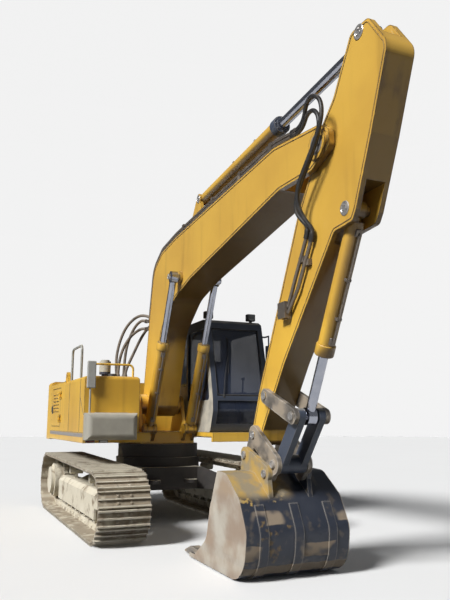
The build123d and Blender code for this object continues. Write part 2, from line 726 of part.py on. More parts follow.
def side_window(y, x0, x1, z0, z1, lean):
    """Cutter for a side window whose front edge leans back by lean."""
    points = [(x0, z0), (x1, z0), (x1 - lean, z1), (x0, z1)]
    return plate(points, y - CAB_WALL - 1.0, y + CAB_WALL + 1.0, [60.0] * 4)


def cab_windows():
    """Cutters for every fixed window."""
    sill = DECK_TOP + 560.0
    head = CAB_ROOF - 150.0
    y0 = CAB_Y0 + CAB_WALL + 20.0
    y1 = CAB_Y1 - CAB_WALL - 20.0
    return [
        block(CAB_BROW - 60.0, CAB_FRONT + 50.0, y0, y1, sill, head),
        block(CAB_FRONT - 200.0, CAB_FRONT + 50.0, y0, y1, DECK_TOP + 130.0, sill - 70.0),
        side_window(CAB_Y0, 160.0, CAB_FRONT - 150.0, sill - 60.0, head, 240.0),
        side_window(CAB_Y0, CAB_REAR + 110.0, 90.0, sill + 200.0, head, 0.0),
        block(CAB_REAR - 50.0, CAB_REAR + CAB_WALL + 5.0, y0 + 50.0, y1 - 50.0, sill + 250.0, head - 20.0),
        block(200.0, 640.0, y0 + 120.0, y1 - 120.0, CAB_ROOF - CAB_WALL - 5.0, CAB_ROOF + 50.0),
    ]


def door_opening(shrink):
    """Cutter for the door in the left wall, smaller all round by shrink."""
    x0 = CAB_REAR + 110.0 + shrink
    z0 = DECK_TOP + 70.0 + shrink
    z1 = CAB_ROOF - 90.0 - shrink
    foot = CAB_FRONT - 190.0 - shrink
    waist = CAB_FRONT - 90.0 - shrink
    brow = CAB_BROW - 70.0 - shrink
    rows = [
        (x0, z0, 70.0), (foot, z0, 60.0), (waist, DECK_TOP + 420.0, 90.0),
        (waist, DECK_TOP + 560.0, 90.0), (brow, z1, 70.0), (x0, z1, 70.0),
    ]
    return outline(rows, CAB_Y1 - CAB_WALL - 1.0, CAB_Y1 + 1.0)


def door_window():
    """Cutter for the window in the door."""
    sill = DECK_TOP + 640.0
    return side_window(CAB_Y1, CAB_REAR + 200.0, CAB_FRONT - 200.0, sill, CAB_ROOF - 180.0, 190.0)


def cab_frame():
    """Hollow cab with its windows and doorway cut, and the door's hinge pins."""
    cab = cab_solid(0.0) - cab_solid(CAB_WALL)
    for cutter in cab_windows():
        cab -= cutter
    cab -= door_opening(0.0)
    for z in hinge_heights(DECK_TOP, CAB_ROOF):
        cab += Pos(CAB_REAR + 110.0, CAB_Y1 + HINGE_OUT, z) * Rot(0, 0, 180) * hinge_fixed()
    return cab


def pane_shell():
    """Thin shell inside the cab's skin from which the panes are cut."""
    return cab_solid(GLASS_INSET) - cab_solid(GLASS_INSET + GLASS)


def cab_glass():
    """Fixed panes that fill the cab's windows."""
    shell = pane_shell()
    return group(*[shell & cutter for cutter in cab_windows()])


def cab_door():
    """Door cut from the cab's left wall, with its window and hinge knuckles."""
    door = (cab_solid(0.0) - cab_solid(CAB_WALL)) & door_opening(GAP)
    door -= door_window()
    for z in hinge_heights(DECK_TOP, CAB_ROOF):
        door += Pos(CAB_REAR + 110.0, CAB_Y1 + HINGE_OUT, z) * Rot(0, 0, 180) * hinge_moving()
    return door


def cab_door_glass():
    """Pane in the door."""
    return pane_shell() & door_window()


def seat_cushions():
    """Seat squab and backrest."""
    y0 = CAB_MIDDLE - SEAT_HALF
    y1 = CAB_MIDDLE + SEAT_HALF
    squab = fillet(block(SEAT_X, SEAT_X + SEAT_DEPTH, y0, y1, SEAT_Z, SEAT_Z + 130.0).edges(), 40.0)
    back = block(SEAT_X - 130.0, SEAT_X - 10.0, y0 + 10.0, y1 - 10.0, SEAT_Z + 70.0, SEAT_Z + 780.0)
    return group(squab, fillet(back.edges(), 40.0))


def seat_base():
    """Suspension box under the seat and the bracket of its back."""
    half = SEAT_HALF - 20.0
    rear = SEAT_X - 170.0
    front = SEAT_X + SEAT_DEPTH
    y0 = CAB_MIDDLE - half
    y1 = CAB_MIDDLE + half
    base = block(SEAT_X + 20.0, front - 40.0, y0 + 20.0, y1 - 20.0, CAB_FLOOR, SEAT_Z - 80.0)
    base += block(rear, front, y0, y1, SEAT_Z - 80.0, SEAT_Z)
    return base + block(rear, rear + 40.0, CAB_MIDDLE - 170.0, CAB_MIDDLE + 170.0, SEAT_Z, SEAT_Z + 640.0)


def operator_console():
    """Arm consoles with control sticks beside the seat and two travel levers in front."""
    pieces = []
    x = SEAT_X + SEAT_DEPTH
    z = SEAT_Z + 190.0
    for side in (-1, 1):
        y = CAB_MIDDLE + side * (SEAT_HALF + 65.0)
        console = block(x - 440.0, x + 80.0, y - 45.0, y + 45.0, z - 150.0, z)
        console += block(x - 380.0, x - 180.0, y - 45.0, y + 45.0, CAB_FLOOR, z - 150.0)
        console += bar((x, y, z - 5.0), (x + 20.0, y, z + 200.0), 14.0)
        console += Pos(x + 22.0, y, z + 220.0) * Sphere(32.0)
        pieces.append(console)
        pedal = CAB_MIDDLE + side * 60.0
        lever = bar((x + 320.0, pedal, CAB_FLOOR + 20.0), (x + 260.0, pedal, z), 13.0)
        lever += block(x + 290.0, x + 420.0, pedal - 45.0, pedal + 45.0, CAB_FLOOR, CAB_FLOOR + 40.0)
        pieces.append(lever)
    return group(*pieces)


def lamps():
    """Work lamps on the cab's roof and marker lamps under the tool box."""
    pieces = []
    x = CAB_BROW - 190.0
    for y in (CAB_Y0 + 110.0, CAB_Y1 - 110.0):
        head = block(x - 45.0, x + 45.0, y - 75.0, y + 75.0, CAB_ROOF + 30.0, CAB_ROOF + 150.0)
        foot = block(x - 20.0, x + 20.0, y - 20.0, y + 20.0, CAB_ROOF, CAB_ROOF + 40.0)
        pieces.append(fillet(head.edges(), 12.0) + foot)
    front = TANK_FRONT
    for y in (100.0 - HALF_WIDTH, 300.0 - HALF_WIDTH):
        pieces.append(block(front, front + 35.0, y - 65.0, y + 65.0, DECK_Z + 45.0, STEP_Z - 2.0))
    return group(*pieces)


# Arm

def boom_back():
    """The boom's back from its nose to its foot, as (x, z, corner radius) rows."""
    rows = offset_from(BOOM_TIP, [(-920, 340, 600)])
    rows += offset_from(BOOM_BEND, [(400, 680, 800), (-280, 600, 250), (-700, 390, 300), (-870, -280, 600)])
    return rows


def boom_heel():
    """Corner of the boom's back beside its foot, as an (x, z, corner radius) row."""
    return offset_from(BOOM_FOOT, [(-200, 60, 120)])


def boom_rows():
    """Boom seen from the side, as (x, z, corner radius) rows round its outline."""
    rows = offset_from(BOOM_FOOT, [(-60, -200, 60), (190, -190, 90), (360, -60, 120)])
    rows += offset_from(BOOM_BEND, [(-250, -720, 500), (380, -290, 700), (1100, -110, 800)])
    rows += offset_from(BOOM_TIP, [(-820, -190, 400), (-150, -215, 100), (190, -90, 90)])
    rows += offset_from(BOOM_TIP, [(190, 90, 90), (20, 205, 80)])
    return rows + boom_back() + boom_heel()


def boom():
    """Gooseneck box boom with a wide foot, a forked nose and a bracket for the stick cylinder."""
    arm = outline(boom_rows(), -BOOM_HALF, BOOM_HALF)
    arm += cross(BOOM_FOOT, BOOM_HUB_R - 40.0, -BOOM_FOOT_HALF, BOOM_FOOT_HALF)
    x, z = BOOM_TIP
    arm -= block(x - FORK_DEPTH, x + 400.0, -FORK_HALF, FORK_HALF, z - 500.0, z + 600.0)
    arm -= cross(BOOM_FOOT, BOOM_PIN_R + RUN, -BOOM_FOOT_HALF - 1.0, BOOM_FOOT_HALF + 1.0)
    arm += cross(BOOM_TIP, BOOM_PIN_R, -BOOM_HALF, BOOM_HALF)
    for side in (-1, 1):
        arm += cross(BOOM_TIP, 150.0, side * (BOOM_HALF - 10.0), side * (BOOM_HALF + 25.0))
        arm += cross(LIFT_EYE, 100.0, side * (BOOM_HALF - 10.0), side * (LIFT_Y_OFF - EYE_HALF - 40.0))
        arm += crowd_ear(side)
    return arm + cross(CROWD_FOOT, STICK_PIN_R, -EYE_HALF - GAP - ARM_PLATE, EYE_HALF + GAP + ARM_PLATE)


def crowd_ear(side):
    """One ear on the boom's back for the stick cylinder's foot."""
    near = side * (EYE_HALF + GAP)
    far = near + side * ARM_PLATE
    x, z = CROWD_FOOT
    points = [(x - 420.0, z - 430.0), (x - 60.0, z + 50.0), (x + 60.0, z - 40.0), (x + 230.0, z - 430.0)]
    return plate(points, near, far) + cross(CROWD_FOOT, EAR_R, near, far)


def barrel(foot, eye, y, radius, length, rod_radius):
    """Cylinder barrel from its foot eye, bored for the rod, with a wider gland."""
    axis = Vector(eye[0] - foot[0], 0, eye[1] - foot[1]).normalized()
    frame = Plane(origin=(foot[0], y, foot[1]), z_dir=axis)
    start = EAR_R + 4 * GAP
    body = frame * (Pos(0, 0, start) * Cylinder(radius, length - start, align=BASE))
    body += frame * Cylinder(EYE_HALF, start, align=BASE)
    body += frame * (Pos(0, 0, length - 110.0) * Cylinder(radius + 10.0, 110.0, align=BASE))
    body += cross(foot, EAR_R, y - EYE_HALF, y + EYE_HALF)
    body -= cross(foot, STICK_PIN_R + RUN, y - EYE_HALF - 1.0, y + EYE_HALF + 1.0)
    return body - frame * (Pos(0, 0, start + 40.0) * Cylinder(rod_radius + RUN, length, align=BASE))


def rod(foot, eye, y, radius, length, insert, pin_half):
    """Cylinder rod with its eye and the eye's own stretch of pin."""
    run = Vector(eye[0] - foot[0], 0, eye[1] - foot[1])
    frame = Plane(origin=(foot[0], y, foot[1]), z_dir=run)
    start = length - insert
    shaft = frame * (Pos(0, 0, start) * Cylinder(radius, run.length - start, align=BASE))
    shaft += cross(eye, radius + 38.0, y - EYE_HALF, y + EYE_HALF)
    return shaft + cross(eye, STICK_PIN_R, y - pin_half, y + pin_half)


def lift_barrels():
    """Barrels of the pair of boom cylinders."""
    return both(barrel(LIFT_FOOT, LIFT_EYE, -LIFT_Y_OFF, LIFT_BARREL_R, LIFT_BARREL, LIFT_ROD_R))


def lift_rods():
    """Rods of the pair of boom cylinders."""
    half = EYE_HALF + 30.0
    return both(rod(LIFT_FOOT, LIFT_EYE, -LIFT_Y_OFF, LIFT_ROD_R, LIFT_BARREL, LIFT_INSERT, half))


def stick_rows():
    """Stick seen from the side, as (x, z, corner radius) rows round its outline."""
    rows = offset_from(CROWD_EYE, [(150, 60, 90), (400, -320, 160)])
    rows += offset_from(CURL_FOOT, [(440, 560, 300), (170, -60, 60), (110, -150, 60), (-190, -170, 60)])
    rows += offset_from(ROCKER_PIN, [(370, 330, 400)])
    rows += offset_from(BUCKET_PIN, [(150, 60, 60), (110, -110, 70), (-110, -110, 70), (-130, 40, 60)])
    rows += offset_from(ROCKER_PIN, [(-210, 90, 300)])
    rows += offset_from(BOOM_TIP, [(-560, -560, 500), (-190, -60, 100), (-160, 120, 100), (170, 420, 300)])
    rows += offset_from(CROWD_EYE, [(-130, 60, 90)])
    return rows


def stick():
    """Stick: a box with a forked tail, ears for the bucket cylinder and pins at its foot."""
    arm = outline(stick_rows(), -STICK_HALF, STICK_HALF)
    arm -= cross(CROWD_EYE, 330.0, -STICK_SLOT_HALF, STICK_SLOT_HALF)
    x, z = CURL_FOOT
    slot = [(x - 330.0, z - 260.0), (x - 130.0, z + 190.0), (x + 420.0, z + 190.0), (x + 300.0, z - 260.0)]
    arm -= plate(slot, -STICK_SLOT_HALF - GAP, STICK_SLOT_HALF + GAP)
    arm -= cross(BOOM_TIP, BOOM_PIN_R + RUN, -STICK_HALF - 1.0, STICK_HALF + 1.0)
    arm += cross(CURL_FOOT, STICK_PIN_R, -STICK_HALF, STICK_HALF)
    reach = STICK_HALF + 2 * GAP + ARM_PLATE
    arm += cross(BUCKET_PIN, STICK_PIN_R, -reach, reach)
    return arm + cross(ROCKER_PIN, STICK_PIN_R, -reach, reach)


def crowd_barrel():
    """Barrel of the stick cylinder on the boom's back."""
    return barrel(CROWD_FOOT, CROWD_EYE, 0.0, CROWD_BARREL_R, CROWD_BARREL, CROWD_ROD_R)


def crowd_rod():
    """Rod of the stick cylinder."""
    return rod(CROWD_FOOT, CROWD_EYE, 0.0, CROWD_ROD_R, CROWD_BARREL, CROWD_INSERT, EYE_HALF + 40.0)


def curl_barrel():
    """Barrel of the bucket cylinder ahead of the stick."""
    return barrel(CURL_FOOT, CURL_EYE, 0.0, CURL_BARREL_R, CURL_BARREL, CURL_ROD_R)


def curl_rod():
    """Rod of the bucket cylinder."""
    return rod(CURL_FOOT, CURL_EYE, 0.0, CURL_ROD_R, CURL_BARREL, CURL_INSERT, EYE_HALF + 20.0)


def lozenge(first, second, radius, y0, y1):
    """Link plate with a round end at each pin."""
    run = Vector(second[0] - first[0], second[1] - first[1]).normalized()
    side = Vector(-run.Y, run.X) * radius
    points = [(first[0] + side.X, first[1] + side.Y), (second[0] + side.X, second[1] + side.Y),
              (second[0] - side.X, second[1] - side.Y), (first[0] - side.X, first[1] - side.Y)]
    return plate(points, y0, y1) + cross(first, radius, y0, y1) + cross(second, radius, y0, y1)


def rocker_arms():
    """Pair of rocker arms outside the stick, joined by the ends of the pin they carry."""
    near = STICK_HALF + GAP
    far = near + ARM_PLATE
    arm = lozenge(ROCKER_PIN, CURL_EYE, EAR_R, -far, -near)
    arm -= cross(ROCKER_PIN, STICK_PIN_R + RUN, -far - 1.0, 1.0 - near)
    arm += cross(CURL_EYE, STICK_PIN_R, -far - 12.0, -EYE_HALF - 28.0)
    return both(arm)


def power_link():
    """Link from the rocker arms to the coupler: two ears above, one boss below."""
    near = EYE_HALF + 30.0
    far = STICK_HALF
    link = cross(LINK_PIN, 95.0, -far, far)
    for side in (-1, 1):
        link += lozenge(CURL_EYE, LINK_PIN, 80.0, side * near, side * far)
    link -= cross(CURL_EYE, STICK_PIN_R + RUN, -far - 1.0, far + 1.0)
    return link


def quick_coupler():
    """Two cheeks that hang on the stick and the link, joined low down, with pins for the bucket."""
    near = STICK_HALF + GAP
    far = near + ARM_PLATE
    ear = far + GAP / 2 + ARM_PLATE + 12.0
    share = 0.4
    tie = (JAW_PIN[0] + share * (HOOK_PIN[0] - JAW_PIN[0]), JAW_PIN[1] + share * (HOOK_PIN[1] - JAW_PIN[1]))
    body = lozenge(JAW_PIN, tie, STICK_PIN_R, -near, near)
    for side in (-1, 1):
        cheek = lozenge(BUCKET_PIN, LINK_PIN, 105.0, side * near, side * far)
        cheek += lozenge(JAW_PIN, HOOK_PIN, STICK_PIN_R, side * near, side * far)
        cheek += lozenge(BUCKET_PIN, JAW_PIN, EAR_R, side * near, side * far)
        cheek += lozenge(LINK_PIN, HOOK_PIN, EAR_R, side * near, side * far)
        cheek -= cross(BUCKET_PIN, STICK_PIN_R + RUN, side * (near - 1.0), side * (far + 1.0))
        cheek += cross(LINK_PIN, STICK_PIN_R, side * far, side * (far + 14.0))
        for pin in (JAW_PIN, HOOK_PIN):
            cheek += cross(pin, STICK_PIN_R, side * far, side * ear)
        body += cheek
    return body


def bucket_rows(inwards):
    """Bucket seen from the side: flat floor, round back and top, drawn inwards by a wall."""
    z = BUCKET_Z + inwards
    back = HEEL_X - inwards
    top = BUCKET_TOP - inwards
    return [
        (LIP_X, z, 0.0), (back - 60.0, z, 330.0), (back, z + 480.0, 200.0),
        (back - 170.0, top - 240.0, 150.0), (HEEL_X - 500.0, top - 10.0, 200.0), (HEEL_X - 730.0, top, 0.0),
    ]


def bucket():
    """Open bucket with side plates, a cutting edge and two pairs of ears for the coupler's pins."""
    mouth = [(HEEL_X - 940.0, BUCKET_TOP - 420.0, 250.0), (HEEL_X - 1040.0, BUCKET_TOP - 760.0, 250.0)]
    body = outline(bucket_rows(0.0) + mouth, -BUCKET_HALF, BUCKET_HALF)
    skin = body - bucket_hollow()
    skin += block(LIP_X - 90.0, LIP_X + 160.0, -BUCKET_HALF, BUCKET_HALF, BUCKET_Z, BUCKET_Z + LIP_THICK)
    near = STICK_HALF + GAP + ARM_PLATE + GAP / 2
    for side in (-1, 1):
        skin += bucket_ear(side * near, side * (near + ARM_PLATE))
        for pin in (JAW_PIN, HOOK_PIN):
            skin -= cross(pin, STICK_PIN_R + RUN, side * (near - 1.0), side * (near + ARM_PLATE + 1.0))
    for y in (-0.66 * BUCKET_HALF, 0.0, 0.66 * BUCKET_HALF):
        strip = outline(bucket_rows(-WEAR_STRIP), y - 50.0, y + 50.0)
        strip &= block(LIP_X + 250.0, HEEL_X + 100.0, y - 60.0, y + 60.0, 0.0, BUCKET_TOP - 300.0)
        strip -= block(LIP_X, HEEL_X - 700.0, y - 60.0, y + 60.0, BUCKET_Z, BUCKET_TOP)
        skin += strip - body
    return skin


def bucket_hollow():
    """Space inside the bucket, open at its mouth."""
    rows = bucket_rows(BUCKET_WALL)
    z, top = rows[0][1], rows[-1][1]
    rows[0] = (LIP_X - 100.0, z, 0.0)
    rows[-1] = (HEEL_X - 830.0, top, 0.0)
    rows.append((LIP_X - 250.0, top, 0.0))
    return outline(rows, BUCKET_WALL - BUCKET_HALF, BUCKET_HALF - BUCKET_WALL)


def bucket_ear(y0, y1):
    """Ear on the bucket's top, drilled for the coupler's two pins."""
    foot = [
        (HEEL_X - 860.0, BUCKET_TOP - 20.0), (JAW_PIN[0] - 60.0, JAW_PIN[1]),
        (HOOK_PIN[0] + 60.0, HOOK_PIN[1]), (HEEL_X - 160.0, BUCKET_TOP - 280.0),
        (HEEL_X - 520.0, BUCKET_TOP - 25.0),
    ]
    return lozenge(JAW_PIN, HOOK_PIN, 90.0, y0, y1) + plate(foot, y0, y1)


def bucket_teeth():
    """Row of wedge teeth gripping the cutting edge."""
    teeth = []
    reach = BUCKET_HALF - BUCKET_WALL - TOOTH_HALF - 2.0
    for index in range(TOOTH_NUMBER):
        y = reach * (2 * index / (TOOTH_NUMBER - 1) - 1)
        root = LIP_X - 90.0
        low = BUCKET_Z
        high = BUCKET_Z + LIP_THICK
        points = [
            (root, low), (TIP_X, low + 12.0), (TIP_X + 8.0, low + 30.0), (root - 60.0, high + 55.0),
            (root + 150.0, high + 50.0), (root + 170.0, high), (root, high),
        ]
        teeth.append(plate(points, y - TOOTH_HALF, y + TOOTH_HALF))
    return group(*teeth)


# Pipes and hoses

def beside(rows, lift):
    """Corners of a path that keeps a distance from an outline's (x, z, radius) rows."""
    corners = [Vector(x, z) for x, z, radius in rows]
    runs = [(second - first).normalized() for first, second in zip(corners, corners[1:])]
    sides = [Vector(run.Y, -run.X) for run in runs]
    points = [corners[0] + sides[0] * lift]
    for corner, before, after in zip(corners[1:], sides, sides[1:]):
        points.append(corner + (before + after) * (lift / (1 + before.dot(after))))
    points.append(corners[-1] + sides[-1] * lift)
    return points


def pipe_rows(drop):
    """Stretch of the boom's back that a pipe follows, as (x, z, corner radius) rows."""
    x, z = BOOM_TIP
    last = boom_back()[-1]
    heel = boom_heel()[0]
    share = drop / (last[1] - heel[1])
    end = (last[0] + share * (heel[0] - last[0]), last[1] - drop, 70.0)
    return [(x - 560.0, z + 288.0, 0.0)] + boom_back() + [end]


def pipe_path(lift, drop):
    """Corners of one pipe, ending in an elbow turned away from the boom's back for its hose."""
    path = [(point.X, point.Y) for point in beside(pipe_rows(drop), lift)]
    x, z = path[-1]
    return path + [(x + PIPE_ELBOW[0], z + PIPE_ELBOW[1])]


def boom_pipe(lift, drop):
    """One steel pipe along the boom's back."""
    rows = pipe_rows(drop)
    bends = [radius + lift for x, z, radius in rows[1:-1]] + [rows[-1][2]]
    return tube([(x, PIPE_Y, z) for x, z in pipe_path(lift, drop)], PIPE_R, bends)


def boom_lines():
    """Pipes along the boom's back, one above the other near each edge, held by clamps."""
    side = boom_pipe(*HIGH_PIPE) + boom_pipe(*LOW_PIPE)
    start, end = [Vector(x, z) for x, z, radius in boom_back()[:2]]
    run = end - start
    along = run.normalized() * 35.0
    up = Vector(along.Y, -along.X).normalized() * (HIGH_PIPE[0] + PIPE_R + 8.0)
    for share in (0.03, 0.28, 0.55, 0.9):
        at = start + run * share
        corners = [at - along, at + along, at + along + up, at - along + up]
        side += plate([(corner.X, corner.Y) for corner in corners], PIPE_Y - 26.0, PIPE_Y + 26.0)
    return both(side)


def hose(start, leave, points, end, arrive):
    """Hose that leaves and reaches its fittings straight, with bends as large as its runs allow."""
    first = Vector(*start) + Vector(*leave).normalized() * HOSE_LEAD
    last = Vector(*end) - Vector(*arrive).normalized() * HOSE_LEAD
    route = [Vector(*start), first] + [Vector(*point) for point in points] + [last, Vector(*end)]
    runs = [second - first for first, second in zip(route, route[1:])]
    bends = []
    for before, after in zip(runs, runs[1:]):
        turn = before.get_angle(after) * pi / 180
        bends.append(0.45 * min(before.length, after.length) / tan(turn / 2))
    return tube([(point.X, point.Y, point.Z) for point in route], HOSE_R, bends)


def boom_hoses():
    """Hoses that rise from the house's roof and arch over to the pipes on the boom's back."""
    leave = (PIPE_ELBOW[0], 0.0, PIPE_ELBOW[1])
    down = (0.0, 0.0, -1.0)
    x, z = pipe_path(*HIGH_PIPE)[-1]
    far = hose(
        (x, PIPE_Y, z), leave,
        [(x - 300, -215, z + 55), (x - 490, -270, z - 25),
         (x - 595, -340, z - 225), (x - 625, -400, z - 475)],
        (x - 605, -430, MANIFOLD_TOP), down)
    x, z = pipe_path(*LOW_PIPE)[-1]
    close = hose(
        (x, PIPE_Y, z), leave,
        [(x - 260, -240, z + 35), (x - 400, -360, z - 65),
         (x - 480, -470, z - 255), (x - 515, -540, z - 495)],
        (x - 510, -560, MANIFOLD_TOP), down)
    return both(group(far, close))


def stick_hoses():
    """Hoses that arch from the boom's pipes over its nose to the pipes on the stick's sides."""
    arrive = (-STICK_PIPE_RUN[0], 0.0, -STICK_PIPE_RUN[1])
    ends = [(px, -PIPE_SIDE, pz) for px, pz in stick_pipe_tops()]
    (x, z), second = pipe_path(*HIGH_PIPE)[:2]
    leave = (x - second[0], 0.0, z - second[1])
    far = hose(
        (x, PIPE_Y, z), leave,
        [(x + 270, -215, z + 20), (x + 450, -290, z + 100), (x + 640, -345, z + 90),
         (x + 800, -350, z - 20), (x + 830, -350, z - 200), (x + 700, -350, z - 400),
         (x + 510, -350, z - 580), (x + 330, -350, z - 760), (x + 290, -320, z - 930),
         (x + 330, -250, z - 1090)],
        ends[0], arrive)
    x, z = pipe_path(*LOW_PIPE)[0]
    close = hose(
        (x, PIPE_Y, z), leave,
        [(x + 270, -220, z - 10), (x + 430, -270, z + 45), (x + 590, -292, z + 25),
         (x + 690, -295, z - 95), (x + 680, -295, z - 265), (x + 540, -295, z - 435),
         (x + 370, -295, z - 595), (x + 230, -295, z - 755), (x + 190, -285, z - 905),
         (x + 250, -235, z - 1015)],
        ends[1], arrive)
    return both(group(far, close))


def stick_pipe_tops():
    """Upper ends of the two pipes on one side of the stick."""
    x, z = BOOM_TIP
    return [(x - 230.0, z - 910.0), (x - 320.0, z - 860.0)]


def stick_lines():
    """Pipes on each side of the stick, from the hoses down to a valve block."""
    low = (BOOM_TIP[0] - 760.0, BOOM_TIP[1] - 1490.0)
    near = -STICK_HALF
    side = block(low[0] - 110.0, low[0] + 50.0, -PIPE_SIDE - 40.0, near, low[1] - 110.0, low[1] + 60.0)
    for (x, z), reach in zip(stick_pipe_tops(), (0.0, 60.0)):
        bend = (x - STICK_PIPE_RUN[0], z - STICK_PIPE_RUN[1])
        points = [(x, z), bend, (low[0] + 50.0, low[1] - 60.0 + reach)]
        side += tube([(px, -PIPE_SIDE, pz) for px, pz in points], PIPE_R, 120.0)
        side += block(x - 160.0, x - 60.0, -PIPE_SIDE, near, z - 220.0, z - 160.0)
    return both(side)


def build():
    """Make every piece under its name."""
    corners = belt()
    shoes = track_shoes(corners)
    chain = track_chain(corners)
    return {
        "carbody": carbody(),
        "slew_ring": slew_ring(),
        "track_frames": both(track_frame()),
        "track_rollers": both(track_rollers()),
        "drive_sprockets": both(drive_sprocket(corners)),
        "front_idlers": both(front_idler(corners)),
        "track_shoes_right": shoes,
        "track_shoes_left": mirror(shoes, about=Plane.XZ),
        "track_chain_right": chain,
        "track_chain_left": group(mirror(chain, about=Plane.XZ)),
        "main_frame": main_frame(),
        "counterweight": counterweight(),
        "engine_bay": engine_bay(),
        "engine_block": engine_block(),
        "engine_hood": engine_hood(),
        "side_door_right": side_door(-1),
        "side_door_left": side_door(1),
        "right_tank": right_tank(),
        "tool_box": tool_box(),
        "handrails": handrails(),
        "mirrors": mirrors(),
        "lamps": lamps(),
        "precleaner": precleaner(),
        "exhaust_stack": exhaust_stack(),
        "cab_frame": cab_frame(),
        "cab_glass": cab_glass(),
        "cab_door": cab_door(),
        "cab_door_glass": cab_door_glass(),
        "seat_cushions": seat_cushions(),
        "seat_base": seat_base(),
        "operator_console": operator_console(),
        "boom": boom(),
        "boom_lines": boom_lines(),
        "boom_hoses": boom_hoses(),
        "boom_cylinder_barrels": lift_barrels(),
        "boom_cylinder_rods": lift_rods(),
        "stick": stick(),
        "stick_lines": stick_lines(),
        "stick_hoses": stick_hoses(),
        "stick_cylinder_barrel": crowd_barrel(),
        "stick_cylinder_rod": crowd_rod(),
        "bucket_cylinder_barrel": curl_barrel(),
        "bucket_cylinder_rod": curl_rod(),
        "rocker_arms": rocker_arms(),
        "power_link": power_link(),
        "quick_coupler": quick_coupler(),
        "bucket": bucket(),
        "bucket_teeth": bucket_teeth(),
    }


os.makedirs("parts", exist_ok=True)
for name, shape in build().items():
    export_step(Pos(SLEW_X, 0, 0) * shape, f"parts/{name}.step")
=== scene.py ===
"""Looks for a tracked excavator: finishes for its solids, and the trim that rides on them.

Metres in the row frame: +X is forward, +Y the machine's left, +Z up, ground at Z = 0.
"""

import json
import math

import bmesh
import bpy
import numpy as np
from bpy.props import FloatProperty, FloatVectorProperty, IntProperty, PointerProperty
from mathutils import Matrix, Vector


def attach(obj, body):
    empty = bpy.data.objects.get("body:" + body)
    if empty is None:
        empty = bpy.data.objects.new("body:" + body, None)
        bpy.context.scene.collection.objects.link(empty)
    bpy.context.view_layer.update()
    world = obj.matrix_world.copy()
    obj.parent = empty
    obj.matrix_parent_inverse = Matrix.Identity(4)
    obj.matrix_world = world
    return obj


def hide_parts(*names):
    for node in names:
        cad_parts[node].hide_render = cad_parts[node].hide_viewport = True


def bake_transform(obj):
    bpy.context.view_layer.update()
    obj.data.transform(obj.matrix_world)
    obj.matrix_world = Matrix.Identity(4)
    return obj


bl_info = {
    "name": "Tracked excavator looks",
    "version": (1, 0, 0),
    "blender": (4, 5, 0),
    "location": "View3D > Sidebar > Excavator",
    "description": "Finishes, hoses, seat and trim for a tracked excavator",
    "category": "Object",
}

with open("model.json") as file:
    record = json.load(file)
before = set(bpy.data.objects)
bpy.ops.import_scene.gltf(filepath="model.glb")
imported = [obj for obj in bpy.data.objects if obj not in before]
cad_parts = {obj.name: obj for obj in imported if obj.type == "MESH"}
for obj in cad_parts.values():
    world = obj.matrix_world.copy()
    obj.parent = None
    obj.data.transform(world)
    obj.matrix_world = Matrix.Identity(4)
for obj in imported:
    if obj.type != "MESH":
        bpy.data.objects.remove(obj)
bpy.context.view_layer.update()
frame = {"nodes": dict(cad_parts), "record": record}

# Directions: the machine's left, and up
LEFT = (0.0, 1.0, 0.0)
UP = (0.0, 0.0, 1.0)

# Camera fitted to the photo: focal length and picture's height in pixels, place, turn and rise in degrees
FOCAL_PIXELS = 644.0
PICTURE_HEIGHT = 600.0
SENSOR_HEIGHT = 36.0
CAMERA_PLACE = (8.819, -3.412, 1.574)
CAMERA_YAW = 23.56
CAMERA_PITCH = 10.633

SLEW_X = -1.835
HALF_GAUGE = 1.2
SHOE_COUNT = 46
LINK_OFFSET = 0.085
HOUSE_SIDE = 1.48

# Slots of a side door: left ends and width of its columns, tops of its rows
SLOT_STARTS = (-3.6045, -3.2783)
SLOT_WIDTH = 0.261
SLOT_TOPS = [2.06 - 0.06 * row for row in range(6)]

# Ends of a track's loop seen from the side: (x, z, radius at the shoes' plates)
SPROCKET = (-2.02 + SLEW_X, 0.50, 0.47)
IDLER = (2.02 + SLEW_X, 0.47, 0.44)

# Pins of the arm seen from the side, (x, z)
BOOM_FOOT = (0.0 + SLEW_X, 1.85)
BOOM_BEND = (1.0 + SLEW_X, 3.72)
BOOM_TIP = (5.62 + SLEW_X, 4.22)
LIFT_FOOT = (0.6 + SLEW_X, 1.45)
LIFT_EYE = (1.675 + SLEW_X, 3.70)
CROWD_FOOT = (2.08 + SLEW_X, 4.83)
CROWD_EYE = (6.24 + SLEW_X, 5.08)
CURL_FOOT = (5.92 + SLEW_X, 3.49)
CURL_EYE = (4.95 + SLEW_X, 1.62)
ROCKER_PIN = (4.36 + SLEW_X, 1.84)
BUCKET_PIN = (4.08 + SLEW_X, 1.42)
LINK_PIN = (4.55 + SLEW_X, 1.13)
JAW_PIN = (3.96 + SLEW_X, 1.20)
HOOK_PIN = (4.45 + SLEW_X, 1.03)


class ExcavatorColours(bpy.types.PropertyGroup):
    """Colours of the machine's finishes."""

    paint: FloatVectorProperty(
        name="Paint", description="Yellow of the arm and house", subtype="COLOR", default=(0.73, 0.44, 0.052))
    paint_deep: FloatVectorProperty(
        name="Deep paint", description="Older, darker patches of the yellow", subtype="COLOR",
        default=(0.58, 0.325, 0.036))
    slate: FloatVectorProperty(
        name="Slate", description="Dark paint of the cab", subtype="COLOR", default=(0.034, 0.043, 0.064))
    dust: FloatVectorProperty(
        name="Dust", description="Dry earth on tracks and low parts", subtype="COLOR",
        default=(0.56, 0.51, 0.40))
    # This colour is dark earth, and it also paints the shade in the track's hollows between the shoes' bars.
    mud_and_shade: FloatVectorProperty(
        name="Mud", description="Darker earth in corners", subtype="COLOR", default=(0.19, 0.14, 0.09))
    steel: FloatVectorProperty(
        name="Bare steel", description="Steel where paint has worn off", subtype="COLOR",
        default=(0.30, 0.28, 0.26))


